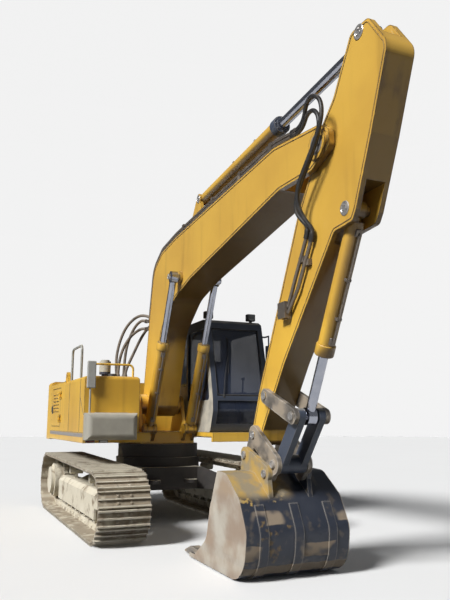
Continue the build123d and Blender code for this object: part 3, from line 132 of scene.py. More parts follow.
class ExcavatorSizes(bpy.types.PropertyGroup):
    """Sizes of the trim."""

    shoe_bolt: FloatProperty(
        name="Shoe bolt", description="Radius of a track shoe's bolt head", default=0.018, unit="LENGTH")
    bead: FloatProperty(
        name="Weld bead", description="Radius of the weld beads on the arm", default=0.007, unit="LENGTH")
    stick_hose: FloatProperty(
        name="Stick hose", description="Radius of the hoses at the boom's nose", default=0.022, unit="LENGTH")
    boom_hose: FloatProperty(
        name="Boom hose", description="Radius of the hoses at the boom's foot", default=0.025, unit="LENGTH")
    sides: IntProperty(name="Hose sides", description="Points round a hose", default=20, min=8)
    swell: FloatProperty(
        name="Seat swell", description="Furthest that the seat's cover may swell", default=0.014,
        unit="LENGTH")


# Finishes

class Value:
    """A node's output, on which arithmetic adds Math nodes."""

    def __init__(self, finish, socket):
        self.finish = finish
        self.socket = socket

    def maths(self, operation, first, second):
        return self.finish.node("ShaderNodeMath", {"operation": operation}, {0: first, 1: second})

    def __add__(self, other):
        return self.maths("ADD", self, other)

    def __sub__(self, other):
        return self.maths("SUBTRACT", self, other)

    def __rsub__(self, other):
        return self.maths("SUBTRACT", other, self)

    def __mul__(self, other):
        return self.maths("MULTIPLY", self, other)

    __radd__ = __add__
    __rmul__ = __mul__


class Finish:
    """A material on object coordinates, built from nodes."""

    def __init__(self, name):
        self.name = name
        self.material = bpy.data.materials.new(name)
        self.material.use_nodes = True
        self.tree = self.material.node_tree
        self.shader = self.tree.nodes["Principled BSDF"]
        self.place = self.node("ShaderNodeTexCoord", {}, {}, "Object")

    def node(self, kind, settings, sockets, out=0):
        """Add a node: its settings first, then the values or links of its sockets."""
        node = self.tree.nodes.new(kind)
        for key, value in settings.items():
            setattr(node, key, value)
        for key, value in sockets.items():
            self.feed(node.inputs[key], value)
        return Value(self, node.outputs[out])

    def feed(self, socket, value):
        """Link a value to a socket, or set the socket to a number or colour."""
        if isinstance(value, Value):
            self.tree.links.new(value.socket, socket)
        elif socket.type == "RGBA":
            socket.default_value = (*value, 1.0)
        else:
            socket.default_value = value

    def set(self, **sockets):
        """Feed the shader's own sockets, with _ for a space in their names."""
        for key, value in sockets.items():
            self.feed(self.shader.inputs[key.replace("_", " ")], value)
        return self

    def noise(self, scale, detail=5.0, stretch=(1.0, 1.0, 1.0)):
        """Cloudy pattern from 0 to 1, stretched by a factor on each axis."""
        place = self.node("ShaderNodeVectorMath", {"operation": "MULTIPLY"}, {0: self.place, 1: stretch})
        return self.node("ShaderNodeTexNoise", {}, {"Vector": place, "Scale": scale, "Detail": detail})

    def cells(self, scale):
        """Distance from the middle of irregular cells."""
        return self.node("ShaderNodeTexVoronoi", {}, {"Vector": self.place, "Scale": scale})

    def step(self, value, low, high):
        """Smooth rise from 0 at low to 1 at high."""
        return self.node("ShaderNodeMapRange", {"interpolation_type": "SMOOTHSTEP"},
                         {"Value": value, "From Min": low, "From Max": high})

    def axis(self, index):
        """One coordinate of the point."""
        return self.node("ShaderNodeSeparateXYZ", {}, {0: self.place}, index)

    def mix(self, share, first, second):
        """Colour between two colours."""
        return self.node("ShaderNodeMix", {"data_type": "RGBA"}, {0: share, 6: first, 7: second}, 2)

    def facing(self, index):
        """One coordinate of the surface's normal, which turns with the piece."""
        normal = self.node("ShaderNodeTexCoord", {}, {}, "Normal")
        return self.node("ShaderNodeSeparateXYZ", {}, {0: normal}, index)

    def facing_up(self):
        """1 on faces that look up, 0 on walls and below."""
        return self.step(self.facing(2), 0.35, 0.95)

    def size(self, value):
        """A value without its sign."""
        return self.node("ShaderNodeMath", {"operation": "ABSOLUTE"}, {0: value})

    def off_the_belt(self):
        """Height above the plates of a track's shoes: distance to the line between its two wheels' centres,
        less a radius that runs from one wheel's to the other's along that line."""
        length, drop = IDLER[0] - SPROCKET[0], SPROCKET[1] - IDLER[1]
        run = self.axis(0) - SPROCKET[0]
        clamped = {"operation": "MULTIPLY", "use_clamp": True}
        share = self.node("ShaderNodeMath", clamped, {0: run, 1: 1.0 / length})
        along, up = run - share * length, self.axis(2) - SPROCKET[1] + share * drop
        away = self.node("ShaderNodeMath", {"operation": "SQRT"}, {0: along * along + up * up})
        return away - SPROCKET[2] + share * (SPROCKET[2] - IDLER[2])

    def band(self, value, low, high, soft):
        """1 between low and high, 0 outside, with soft borders."""
        return self.step(value, low - soft, low) * (1.0 - self.step(value, high, high + soft))

    def edges(self, radius):
        """1 along sharp edges: where a rounded normal leaves the face's own."""
        normal = self.node("ShaderNodeNewGeometry", {}, {}, "Normal")
        soft = self.node("ShaderNodeBevel", {"samples": 4}, {"Radius": radius})
        same = self.node("ShaderNodeVectorMath", {"operation": "DOT_PRODUCT"}, {0: soft, 1: normal}, "Value")
        return self.step(1.0 - same, 0.01, 0.16)

    def bump(self, height, strength, distance=0.004):
        """Feed the shader's normal with a relief."""
        relief = {"Height": height, "Strength": strength, "Distance": distance}
        return self.set(Normal=self.node("ShaderNodeBump", {}, relief))

    def settled(self, share):
        """Dust that settles in patches, most on faces that look up."""
        return self.step(self.facing_up() * 0.5 + self.noise(3.5, 6.0) * 0.8, 0.55, 1.05) * share

    def rubbed(self):
        """Handled edges, broken up by noise."""
        return self.step(self.edges(0.014) + self.noise(24.0) * 0.5, 0.85, 1.1)

    def clouded(self, colour):
        """A dark colour with paler clouds."""
        return self.mix(self.noise(6.0) * 0.6, colour, tuple(part * 1.9 + 0.006 for part in colour))


def yellow_paint(colours):
    """Sun-worn yellow: faded patches, dirt runs, dust on top, painted shade on faces that look down, chipped
    edges.
    """
    f = Finish("yellow_paint")
    cloud = f.step(f.noise(0.9, 6.0), 0.35, 0.68)
    runs = f.step(f.noise(5.0, 6.0, (1.0, 1.0, 0.10)), 0.52, 0.78)
    speck = f.noise(38.0, 4.0)
    low = 1.0 - f.step(f.axis(2) + f.noise(2.0) * 0.5, 1.45, 2.05)
    dust = f.step(f.facing_up() * 0.42 + low * 0.22 + speck * 0.25 + runs * 0.10, 0.30, 0.95)
    chips = f.step(f.edges(0.022) * 0.55 + f.noise(17.0, 6.0) * 0.75, 0.78, 0.86)
    base = f.mix(cloud, colours.paint, colours.paint_deep)
    base = f.mix(f.step(f.axis(2), 2.3, 3.3) * 0.45, base, (0.50, 0.30, 0.065))
    base = f.mix(runs * 0.38, base, (0.17, 0.085, 0.018))
    # Painted shade: faces that look down are darkened to a deep brown, and the shade turns with the piece.
    below = f.step(f.facing(2) * -1.0 + runs * 0.1, 0.12, 0.55)
    base = f.mix(below * 0.80, base, (0.045, 0.022, 0.008))
    base = f.mix(dust * 0.62, base, colours.dust)
    base = f.mix(chips, base, (0.062, 0.045, 0.036))
    f.set(Base_Color=base, Roughness=0.34 + speck * 0.14 + dust * 0.34, Coat_Weight=0.22 * (1.0 - dust))
    return f.bump(f.noise(150.0, 2.0) * 0.35 + chips * -1.0 + dust * 0.4, 0.22, 0.002)


def dark_finish(name, colour, dust_share, rough, colours):
    """Dark paint with dust on its upper faces and paler rubbed edges."""
    f = Finish(name)
    speck = f.noise(30.0)
    dust = f.settled(dust_share)
    rubbed = f.rubbed()
    base = f.clouded(colour)
    base = f.mix(dust, base, colours.dust)
    base = f.mix(rubbed * 0.45, base, colours.steel)
    f.set(Base_Color=base, Roughness=rough + speck * 0.18 + dust * 0.25)
    return f.bump(speck, 0.12, 0.002)


def two_tone(name, axis, at, before, after, colours):
    """Two paints that meet at a plane across one axis, grimy, with dust on top."""
    f = Finish(name)
    speck = f.noise(30.0)
    dust = f.settled(0.4)
    base = f.mix(f.step(f.axis(axis), at - 0.004, at + 0.004), before, after)
    base = f.mix(f.step(f.noise(7.0, 6.0), 0.45, 0.75) * 0.45, base, colours.mud_and_shade)
    base = f.mix(dust, base, colours.dust)
    f.set(Base_Color=base, Roughness=0.36 + speck * 0.2 + dust * 0.25)
    return f.bump(speck, 0.12, 0.002)


def cab_paint(colours):
    """Slate paint with a pale film on the side walls, thinning towards the roof: partly dust, partly a
    painted sheen of sunlight.
    """
    f = Finish("cab_paint")
    speck = f.noise(30.0)
    wall = f.step(f.size(f.facing(1)), 0.75, 0.95)
    low = 1.0 - f.step(f.axis(2) + f.noise(2.5, 6.0) * 0.5, 2.75, 3.20)
    # Pale film on the side walls: partly dust, partly a painted sheen of sunlight on the slate.
    film = wall * low * (0.55 + f.step(f.noise(5.0, 7.0), 0.3, 0.7) * 0.4)
    dust = f.settled(0.45)
    rubbed = f.rubbed()
    base = f.clouded(colours.slate)
    base = f.mix(film, base, (0.50, 0.46, 0.37))
    base = f.mix(dust, base, colours.dust)
    base = f.mix(rubbed * 0.45, base, colours.steel)
    f.set(Base_Color=base, Roughness=0.34 + speck * 0.18 + film * 0.35 + dust * 0.2)
    return f.bump(speck, 0.12, 0.002)


def frame_steel(colours):
    """Blackened plate with thick pale dust on whatever faces up and on the legs towards the tracks."""
    f = Finish("frame_steel")
    clod = f.noise(9.0, 8.0)
    legs = f.step(f.size(f.axis(1)) + f.noise(4.0, 6.0) * 0.12, 0.66, 0.76)
    dust = f.step(f.facing_up() * 0.75 + legs * 0.60 + f.noise(2.2, 6.0) * 0.65, 0.55, 0.95)
    base = f.mix(clod, (0.010, 0.009, 0.009), (0.034, 0.027, 0.022))
    base = f.mix(dust * 0.80, base, colours.dust)
    f.set(Base_Color=base, Roughness=0.62 + dust * 0.3)
    return f.bump(clod + dust * 0.6, 0.5, 0.008)


def track_steel(colours):
    """Steel caked in dry earth, rubbed bare on the bars' edges, with painted shade in its hollows."""
    f = Finish("track_steel")
    clod = f.noise(14.0, 9.0)
    cake = f.step(f.noise(4.0, 7.0) * 0.7 + clod * 0.45, 0.34, 0.58)
    worn = f.step(f.edges(0.016) + f.noise(26.0) * 0.5, 0.72, 1.1)
    base = f.mix(cake, colours.mud_and_shade, colours.dust)
    base = f.mix(f.step(f.noise(2.0, 3.0), 0.45, 0.7) * 0.45, base, (0.66, 0.62, 0.51))
    # Painted shade: the hollows between the bars, just above the shoes' plates, are darkened in patches with
    # the dark earth colour.
    painted_shade_gap = f.band(f.off_the_belt(), -0.030, 0.004, 0.010) * f.step(f.noise(6.0), 0.30, 0.50)
    base = f.mix(painted_shade_gap * 0.70, base, colours.mud_and_shade)
    base = f.mix(worn * 0.55, base, (0.46, 0.43, 0.39))
    f.set(Base_Color=base, Roughness=0.92 - worn * 0.42, Metallic=worn * 0.7)
    return f.bump(clod + cake * 0.7, 0.65, 0.010)


def worn_steel():
    """Scoured steel with earth in its hollows and bright rubbed edges."""
    f = Finish("worn_steel")
    scour = f.noise(22.0, 7.0, (0.25, 1.0, 1.0))
    earth = f.step(f.noise(5.0, 8.0), 0.42, 0.62)
    bright = f.step(f.edges(0.020) + scour * 0.5, 0.70, 1.05)
    base = f.mix(scour, (0.16, 0.145, 0.13), (0.30, 0.27, 0.235))
    base = f.mix(earth * 0.75, base, (0.31, 0.25, 0.18))
    base = f.mix(bright * 0.6, base, (0.62, 0.58, 0.52))
    f.set(Base_Color=base, Roughness=0.42 + earth * 0.45, Metallic=0.75 * (1.0 - earth))
    return f.bump(scour + earth * 0.8, 0.4, 0.005)


def bucket_paint():
    """Navy shell rubbed to brown in bands, old yellow left on top, pale earth on the side plates."""
    f = Finish("bucket_paint")
    scrape = f.noise(9.0, 8.0, (0.18, 1.0, 1.0))
    wander = (f.noise(5.0, 7.0) - 0.5) * 0.07
    height = f.axis(2) + wander
    across = f.size(f.axis(1))
    side = f.step(across + f.noise(6.0) * 0.012, 0.596, 0.604)
    patch = f.step(f.noise(1.7, 3.0), 0.44, 0.50)
    rub = f.band(height, 0.075, 0.150, 0.012) + f.band(height, 0.235, 0.36, 0.012) * patch
    rub = rub + f.band(height, 0.56, 0.68, 0.015) * (1.0 - patch)
    fleck = f.step(f.noise(3.4, 7.0) * 0.8 + f.noise(21.0, 4.0) * 0.3, 0.64, 0.72)
    top = f.step(height + fleck * 0.10, 0.76, 0.86) * (1.0 - f.step(f.axis(1) + wander * 2.0, -0.10, 0.08))
    bare = f.step(scrape, 0.56, 0.72)
    old = f.mix(f.step(f.noise(6.0, 7.0), 0.40, 0.62), (0.47, 0.31, 0.085), (0.30, 0.245, 0.155))
    earth = f.mix(f.step(f.noise(3.0, 8.0), 0.35, 0.7), (0.33, 0.25, 0.185), (0.50, 0.46, 0.385))
    base = f.mix(f.noise(5.0), (0.013, 0.018, 0.032), (0.042, 0.047, 0.062))
    base = f.mix(fleck * 0.55, base, (0.30, 0.19, 0.06))
    base = f.mix(bare * 0.5, base, (0.19, 0.16, 0.13))
    base = f.mix(rub * 0.85, base, (0.30, 0.235, 0.165))
    base = f.mix(top * 0.85, base, old)
    base = f.mix(side * 0.90, base, earth)
    worn = f.step(f.edges(0.022) + scrape * 0.5, 0.75, 1.1)
    base = f.mix(worn * 0.38, base, (0.48, 0.43, 0.36))
    plain = (1.0 - side) * (1.0 - top)
    f.set(Base_Color=base, Roughness=0.72 - plain * 0.30 + rub * 0.25, Metallic=bare * 0.4 * plain)
    return f.bump(scrape + fleck * 0.6 + rub * 0.3, 0.35, 0.004)


def chrome_rod():
    """Polished rod, darkened and tinted blue as a painted reflection of dark surroundings, with faint rings
    of wiped oil.
    """
    f = Finish("chrome_rod")
    film = f.noise(12.0, 4.0)
    # Painted reflection: the rod's dark, bluish colour stands for the dark surroundings it mirrors; the noise
    # between its two tones is wiped oil.
    f.set(Base_Color=f.mix(film, (0.26, 0.28, 0.34), (0.46, 0.47, 0.52)), Metallic=1.0,
          Roughness=0.12 + film * 0.14)
    return f.bump(f.noise(180.0, 2.0), 0.03, 0.001)


def steel_parts(name, colour, rough, colours):
    """Plain steel with handling marks and a little dirt in its corners."""
    f = Finish(name)
    mark = f.noise(35.0, 6.0)
    dirt = f.step(f.noise(7.0, 7.0), 0.5, 0.72)
    base = f.mix(mark, colour, tuple(min(part * 1.5, 1.0) for part in colour))
    base = f.mix(dirt * 0.5, base, colours.mud_and_shade)
    f.set(Base_Color=base, Roughness=rough + dirt * 0.3, Metallic=0.65 * (1.0 - dirt))
    return f.bump(mark, 0.15, 0.002)


def window_glass():
    """Tinted safety glass with wiped dust in its corners."""
    f = Finish("window_glass")
    film = f.step(f.noise(4.0), 0.5, 0.9)
    f.set(Base_Color=f.mix(film * 0.5, (0.040, 0.052, 0.088), (0.15, 0.15, 0.15)), Roughness=0.04,
          Alpha=0.52 + film * 0.16)
    return f


def hose_rubber(name, low, high):
    """Black rubber with a wrapped-cloth texture; grey-brown dust starts at low and covers at high."""
    f = Finish(name)
    wrap = f.cells(260.0)
    dust = f.step(f.noise(8.0, 6.0) + f.facing_up() * 0.2, low, high)
    base = f.mix(dust * 0.85, (0.012, 0.011, 0.011), (0.20, 0.165, 0.13))
    f.set(Base_Color=base, Roughness=0.48 + dust * 0.35)
    return f.bump(wrap, 0.25, 0.001)


def seat_fabric():
    """Grey woven cover: crossed threads over a soft fleck."""
    f = Finish("seat_fabric")
    warp = f.node("ShaderNodeTexWave", {"bands_direction": "Y"}, {"Vector": f.place, "Scale": 110.0})
    weft = f.node("ShaderNodeTexWave", {"bands_direction": "DIAGONAL"}, {"Vector": f.place, "Scale": 95.0})
    weave = warp * 0.5 + weft * 0.5
    base = f.mix(weave * 0.6 + f.noise(60.0) * 0.4, (0.020, 0.021, 0.024), (0.095, 0.095, 0.10))
    f.set(Base_Color=base, Roughness=0.85 + weave * 0.1)
    return f.bump(weave, 0.4, 0.0015)


def cab_plastic():
    """Moulded grain on dark grey plastic."""
    f = Finish("cab_plastic")
    grain = f.cells(340.0)
    f.set(Base_Color=f.mix(f.noise(9.0), (0.030, 0.031, 0.033), (0.060, 0.060, 0.062)),
          Roughness=0.55 + grain * 0.2)
    return f.bump(grain, 0.25, 0.001)


def lens(name, colour):
    """Moulded lamp lens with fine vertical flutes."""
    f = Finish(name)
    flutes = f.node("ShaderNodeTexWave", {"bands_direction": "Y"}, {"Vector": f.place, "Scale": 30.0})
    dirt = f.step(f.noise(11.0), 0.5, 0.9)
    base = f.mix(dirt * 0.4, colour, (0.30, 0.26, 0.20))
    f.set(Base_Color=base, Roughness=0.12 + dirt * 0.4, Coat_Weight=0.6)
    return f.bump(flutes, 0.4, 0.003)


FINISHES = {}


def make_finishes(colours):
    """Every finish under its material slot's name."""
    made = [
        yellow_paint(colours), frame_steel(colours), track_steel(colours), worn_steel(),
        bucket_paint(), chrome_rod(), window_glass(), seat_fabric(),
        cab_plastic(), cab_paint(colours),
        hose_rubber("hose_rubber", 0.50, 0.95), hose_rubber("dusty_rubber", 0.18, 0.55),
        dark_finish("dark_paint", colours.slate, 0.45, 0.34, colours),
        dark_finish("grey_paint", (0.26, 0.245, 0.205), 0.55, 0.48, colours),
        dark_finish("black_plastic", (0.018, 0.019, 0.022), 0.30, 0.42, colours),
        dark_finish("rubber_seal", (0.010, 0.010, 0.011), 0.35, 0.62, colours),
        dark_finish("stripe_paint", (0.19, 0.175, 0.165), 0.30, 0.45, colours),
        two_tone("mirror_shell", 1, 0.0, (0.36, 0.36, 0.34), (0.055, 0.062, 0.095), colours),
        two_tone("rail_paint", 0, -1.30, (0.30, 0.30, 0.275), colours.paint, colours),
        two_tone("bowl_plastic", 2, 2.43, (0.020, 0.026, 0.052), (0.42, 0.40, 0.33), colours),
        steel_parts("machined_steel", (0.30, 0.29, 0.28), 0.32, colours),
        steel_parts("tube_steel", (0.13, 0.11, 0.092), 0.42, colours),
        steel_parts("mirror_glass", (0.62, 0.65, 0.68), 0.06, colours),
        lens("lamp_lens", (0.60, 0.60, 0.57)), lens("work_lens", (0.13, 0.135, 0.14)),
        lens("red_lens", (0.16, 0.016, 0.010)),
    ]
    for finish in made:
        FINISHES[finish.name] = finish.material


# Surfaces

def grid_faces(rows, columns, close_rows, close_columns):
    """Quads between neighbours of a grid of points, joined round in either direction if asked."""
    i, j = np.meshgrid(np.arange(rows if close_rows else rows - 1),
                       np.arange(columns if close_columns else columns - 1), indexing="ij")
    down, right = (i + 1) % rows, (j + 1) % columns
    corners = [i * columns + j, down * columns + j, down * columns + right, i * columns + right]
    return np.stack(corners, -1).reshape(-1, 4)


def closed(points):
    """A grid of points closed round its columns, with a fan at each end: (points, faces)."""
    rows, columns = points.shape[:2]
    flat = points.reshape(-1, 3)
    middles = np.stack([points[0].mean(0), points[-1].mean(0)])
    quads = grid_faces(rows, columns, False, True)
    ring = np.arange(columns)
    after = (ring + 1) % columns
    first = np.stack([np.full(columns, len(flat)), ring, after], -1)
    end = (rows - 1) * columns
    last = np.stack([np.full(columns, len(flat) + 1), end + after, end + ring], -1)
    return np.vstack([flat, middles]), quads.tolist() + first.tolist() + last.tolist()


def together(shapes):
    """Several (points, faces) as one."""
    points, faces, start = [], [], 0
    for shape_points, shape_faces in shapes:
        points.append(shape_points)
        faces += [[start + index for index in face] for face in shape_faces]
        start += len(shape_points)
    return np.vstack(points), faces


def piece(name, shape, finish, body):
    """Object at the origin that wears a finish, with its faces turned outwards, riding on a body."""
    points, faces = shape
    mesh = bpy.data.meshes.new(name)
    mesh.from_pydata(np.asarray(points, float).tolist(), [], faces)
    shell = bmesh.new()
    shell.from_mesh(mesh)
    bmesh.ops.remove_doubles(shell, verts=shell.verts, dist=1e-6)
    bmesh.ops.recalc_face_normals(shell, faces=shell.faces)
    shell.to_mesh(mesh)
    shell.free()
    mesh.shade_smooth()
    mesh.set_sharp_from_angle(angle=math.radians(38.0))
    mesh.materials.append(FINISHES[finish])
    made = bpy.data.objects.new(name, mesh)
    bpy.context.scene.collection.objects.link(made)
    if body:
        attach(made, body)
    return made


def unit(vectors):
    """Vectors of length one."""
    return vectors / np.linalg.norm(vectors, axis=-1, keepdims=True)


def rings(path, along, radius, across, sides):
    """Circle of points round each point of a path; radius is one number or one for each point of the path.
    Point = path + radius (cos u, sin u) on two axes square to the path, the first square to across."""
    side = unit(np.cross(along, np.asarray(across, float)))
    up = np.cross(side, along)
    turn = np.linspace(0.0, 2 * np.pi, sides, endpoint=False)[None, :, None]
    reach = np.broadcast_to(np.asarray(radius, float), (len(path),))[:, None, None]
    return path[:, None] + reach * (side[:, None] * np.cos(turn) + up[:, None] * np.sin(turn))


def tube(path, radius, across, sides=10):
    """Round profile carried along a path, with closed ends."""
    path = np.asarray(path, float)
    return closed(rings(path, unit(np.gradient(path, axis=0)), radius, across, sides))


def loop_tube(path, radius, across, sides=8):
    """A tube whose path joins its own start, with no ends."""
    path = np.asarray(path, float)
    along = unit(np.roll(path, -1, axis=0) - np.roll(path, 1, axis=0))
    points = rings(path, along, radius, across, sides)
    return points.reshape(-1, 3), grid_faces(len(path), sides, True, True).tolist()


def rounded(rows, samples=9):
    """Closed outline through (u, v, radius) corners with an arc in each.
    The arc's point at turn a is its centre minus radius (cos a, sin a), from one tangent to the next."""
    rows = np.asarray(rows, float)
    corner, radius = rows[:, :2], rows[:, 2:3]
    back = unit(np.roll(corner, 1, axis=0) - corner)
    ahead = unit(np.roll(corner, -1, axis=0) - corner)
    half = np.arccos(np.clip((back * ahead).sum(-1, keepdims=True), -1, 1)) / 2
    middle = corner + unit(back + ahead) * radius / np.sin(half)
    start = corner + back * radius / np.tan(half) - middle
    finish = corner + ahead * radius / np.tan(half) - middle
    share = np.linspace(0.0, 1.0, samples)[None, :, None]
    sweep = np.pi - 2 * half[:, None]
    weights = np.sin((1 - share) * sweep), np.sin(share * sweep)
    arcs = middle[:, None] + (weights[0] * start[:, None] + weights[1] * finish[:, None]) / np.sin(sweep)
    return arcs.reshape(-1, 2)


def drawn_in(outline, depth):
    """A closed outline moved towards its inside by a depth, along the mean of its sides' normals."""
    along = unit(np.roll(outline, -1, axis=0) - np.roll(outline, 1, axis=0))
    area = np.sum(outline[:, 0] * np.roll(outline[:, 1], -1) - outline[:, 1] * np.roll(outline[:, 0], -1))
    inwards = np.stack([-along[:, 1], along[:, 0]], -1) * np.sign(area)
    return outline + inwards * depth


def tile(centre, right, up, width, height, radius, thick):
    """Plate with rounded corners and edges: outlines stacked along its normal, drawn in at the top.
    Level k is the rounded rectangle drawn in by up to a quarter of the thickness, at that level's height."""
    right, up = unit(np.asarray(right, float)), unit(np.asarray(up, float))
    out = np.cross(right, up)
    w, h = width / 2, height / 2
    outline = rounded([(-w, -h, radius), (w, -h, radius), (w, h, radius), (-w, h, radius)], 5)
    drop = 0.25 * thick
    levels = [(0.0, 0.0), (thick - drop, 0.0), (thick - 0.3 * drop, 0.3 * drop), (thick, drop)]
    outlines = []
    for height_at, inset in levels:
        flat = drawn_in(outline, inset)
        outlines.append(np.asarray(centre, float) + flat[:, :1] * right + flat[:, 1:] * up + out * height_at)
    return closed(np.stack(outlines))


def turned(centre, axis, profile, sides=28):
    """Turned piece: (radius, height) rows swept round an axis through centre."""
    axis = unit(np.asarray(axis, float))
    start = (1.0, 0.0, 0.0) if abs(axis[0]) < 0.9 else LEFT
    first = unit(np.cross(axis, start))
    second = np.cross(axis, first)
    turn = np.linspace(0.0, 2 * np.pi, sides, endpoint=False)
    ring = np.cos(turn)[:, None] * first + np.sin(turn)[:, None] * second
    rows = np.asarray(profile, float)
    points = rows[:, 0][:, None, None] * ring[None] + rows[:, 1][:, None, None] * axis
    return closed(np.asarray(centre, float) + points)


def bolt(centre, axis, radius):
    """Hexagon bolt head: a six-sided turned piece with a chamfered top."""
    high = radius * 0.7
    return turned(centre, axis, [(radius, -0.15 * high), (radius, high * 0.8), (radius * 0.82, high)], 6)


def vertex_places(mesh):
    """Places of a mesh's vertices, one row each."""
    places = np.zeros(len(mesh.vertices) * 3)
    mesh.vertices.foreach_get("co", places)
    return places.reshape(-1, 3)


def spline(points, count):
    """Smooth line with these points as its control points, as an array of places along it."""
    curve = bpy.data.curves.new("line", "CURVE")
    curve.dimensions = "3D"
    line = curve.splines.new("NURBS")
    line.points.add(len(points) - 1)
    rows = np.hstack([np.asarray(points, float), np.ones((len(points), 1))])
    line.points.foreach_set("co", rows.ravel())
    line.order_u = 3
    line.use_endpoint_u = True
    line.resolution_u = count
    holder = bpy.data.objects.new("line", curve)
    mesh = bpy.data.meshes.new_from_object(holder)
    places = vertex_places(mesh)
    bpy.data.objects.remove(holder)
    bpy.data.curves.remove(curve)
    bpy.data.meshes.remove(mesh)
    return places


def run_along(path):
    """Distance along a path from its start to each of its points."""
    return np.concatenate([[0.0], np.cumsum(np.linalg.norm(np.diff(path, axis=0), axis=1))])


def at_steps(path, steps):
    """Points of a path at these distances from its start."""
    return np.stack([np.interp(steps, run_along(path), column) for column in path.T], -1)


def mirrored(shape):
    """A shape on the other side of the machine's middle."""
    points, faces = shape
    return points * np.array([1.0, -1.0, 1.0]), faces


# Pieces

BOOM_HOSES = [
    [(-1.99, -0.198, 3.292), (-2.098, -0.198, 3.316), (-2.29, -0.215, 3.347), (-2.48, -0.27, 3.267),
     (-2.585, -0.34, 3.067), (-2.615, -0.4, 2.817), (-2.595, -0.43, 2.41), (-2.595, -0.43, 2.3)],
    [(-1.973, -0.198, 3.153), (-2.081, -0.198, 3.176), (-2.233, -0.24, 3.188), (-2.373, -0.36, 3.088),
     (-2.453, -0.47, 2.898), (-2.488, -0.54, 2.658), (-2.483, -0.56, 2.41), (-2.483, -0.56, 2.3)],
    [(-1.786, -0.055, 3.206), (-1.903, -0.055, 3.232), (-2.10, -0.07, 3.26), (-2.28, -0.13, 3.17),
     (-2.40, -0.21, 2.98), (-2.455, -0.30, 2.75), (-2.483, -0.39, 2.54), (-2.483, -0.43, 2.41),
     (-2.483, -0.43, 2.3)],
    [(-1.769, -0.125, 3.286), (-1.906, -0.125, 3.316), (-2.10, -0.15, 3.41), (-2.36, -0.25, 3.45),
     (-2.57, -0.39, 3.30), (-2.66, -0.49, 3.04), (-2.67, -0.55, 2.75), (-2.62, -0.565, 2.52),
     (-2.595, -0.56, 2.41), (-2.595, -0.56, 2.3)],
]
STICK_HOSES = [
    [(3.236, -0.198, 4.585), (3.345, -0.198, 4.569), (3.506, -0.215, 4.605), (3.686, -0.29, 4.685),
     (3.876, -0.345, 4.675), (4.036, -0.35, 4.565), (4.066, -0.35, 4.385), (3.936, -0.35, 4.185),
     (3.746, -0.35, 4.005), (3.566, -0.35, 3.825), (3.526, -0.32, 3.655), (3.566, -0.25, 3.495),
     (3.614, -0.195, 3.403), (3.555, -0.195, 3.31)],
    [(3.23, -0.198, 4.54), (3.338, -0.198, 4.524), (3.5, -0.22, 4.53), (3.66, -0.27, 4.585),
     (3.82, -0.292, 4.565), (3.92, -0.295, 4.445), (3.91, -0.295, 4.275), (3.77, -0.295, 4.105),
     (3.6, -0.295, 3.945), (3.46, -0.295, 3.785), (3.42, -0.285, 3.635), (3.48, -0.235, 3.525),
     (3.524, -0.195, 3.453), (3.465, -0.195, 3.36)],
]


def hose(points, radius, sides):
    """Hose with a crimped sleeve at each end: the radius swells near the ends and ripples on the sleeves.
    r(s) = radius (1 + 0.38 sleeve(s) + 0.06 sleeve(s) cos(ripple)), s the distance to the nearer end."""
    path = spline(points, 10)
    length = run_along(path)[-1]
    dense = np.linspace(0.0, length, max(60, int(length / 0.012)))
    near = np.minimum(dense, length - dense)
    sleeve = np.clip((0.095 - near) / 0.012, 0.0, 1.0)
    swell = radius * (1 + 0.38 * sleeve + 0.06 * sleeve * np.cos(near * 2 * np.pi / 0.030))
    return tube(at_steps(path, dense), swell, LEFT, sides)


def pin_cap(pin, y, radius):
    """Pin's end: a shallow turned disc with a raised rim and three bolts, on one side of the arm."""
    side = 1.0 if y > 0 else -1.0
    axis = (0.0, side, 0.0)
    disc = [(radius, -0.002), (radius, 0.006), (radius * 0.93, 0.010), (radius * 0.72, 0.010),
            (radius * 0.66, 0.006), (radius * 0.05, 0.006)]
    shapes = [turned((pin[0], y, pin[1]), axis, disc)]
    reach = 0.42 * radius
    for turn in (math.pi / 2, math.pi * 7 / 6, math.pi * 11 / 6):
        at = (pin[0] + reach * math.cos(turn), y + side * 0.006, pin[1] + reach * math.sin(turn))
        shapes.append(bolt(at, axis, radius * 0.15))
    return together(shapes)


# Pin ends: name, body, pin, distance from the middle, radius
PIN_CAPS = [
    ("boom_foot_caps", "upperstructure", BOOM_FOOT, 0.404, 0.110),
    ("lift_foot_caps", "upperstructure", LIFT_FOOT, 0.444, 0.060),
    ("lift_eye_caps", "boom_cylinder_rods", LIFT_EYE, 0.418, 0.044),
    ("boom_tip_caps", "boom", BOOM_TIP, 0.250, 0.105),
    ("crowd_foot_caps", "boom", CROWD_FOOT, 0.104, 0.060),
    ("crowd_eye_caps", "stick", CROWD_EYE, 0.150, 0.072),
    ("curl_foot_caps", "stick", CURL_FOOT, 0.150, 0.070),
    ("rocker_pin_caps", "stick", ROCKER_PIN, 0.212, 0.044),
    ("bucket_pin_caps", "stick", BUCKET_PIN, 0.212, 0.044),
    ("curl_eye_caps", "rocker_arms", CURL_EYE, 0.218, 0.042),
    ("link_pin_caps", "bucket", LINK_PIN, 0.220, 0.042),
    ("jaw_pin_caps", "bucket", JAW_PIN, 0.271, 0.042),
    ("hook_pin_caps", "bucket", HOOK_PIN, 0.271, 0.042),
]


def about(pin, rows):
    """(x, z, radius) corners from steps about a pin."""
    return [(pin[0] + dx, pin[1] + dz, radius) for dx, dz, radius in rows]


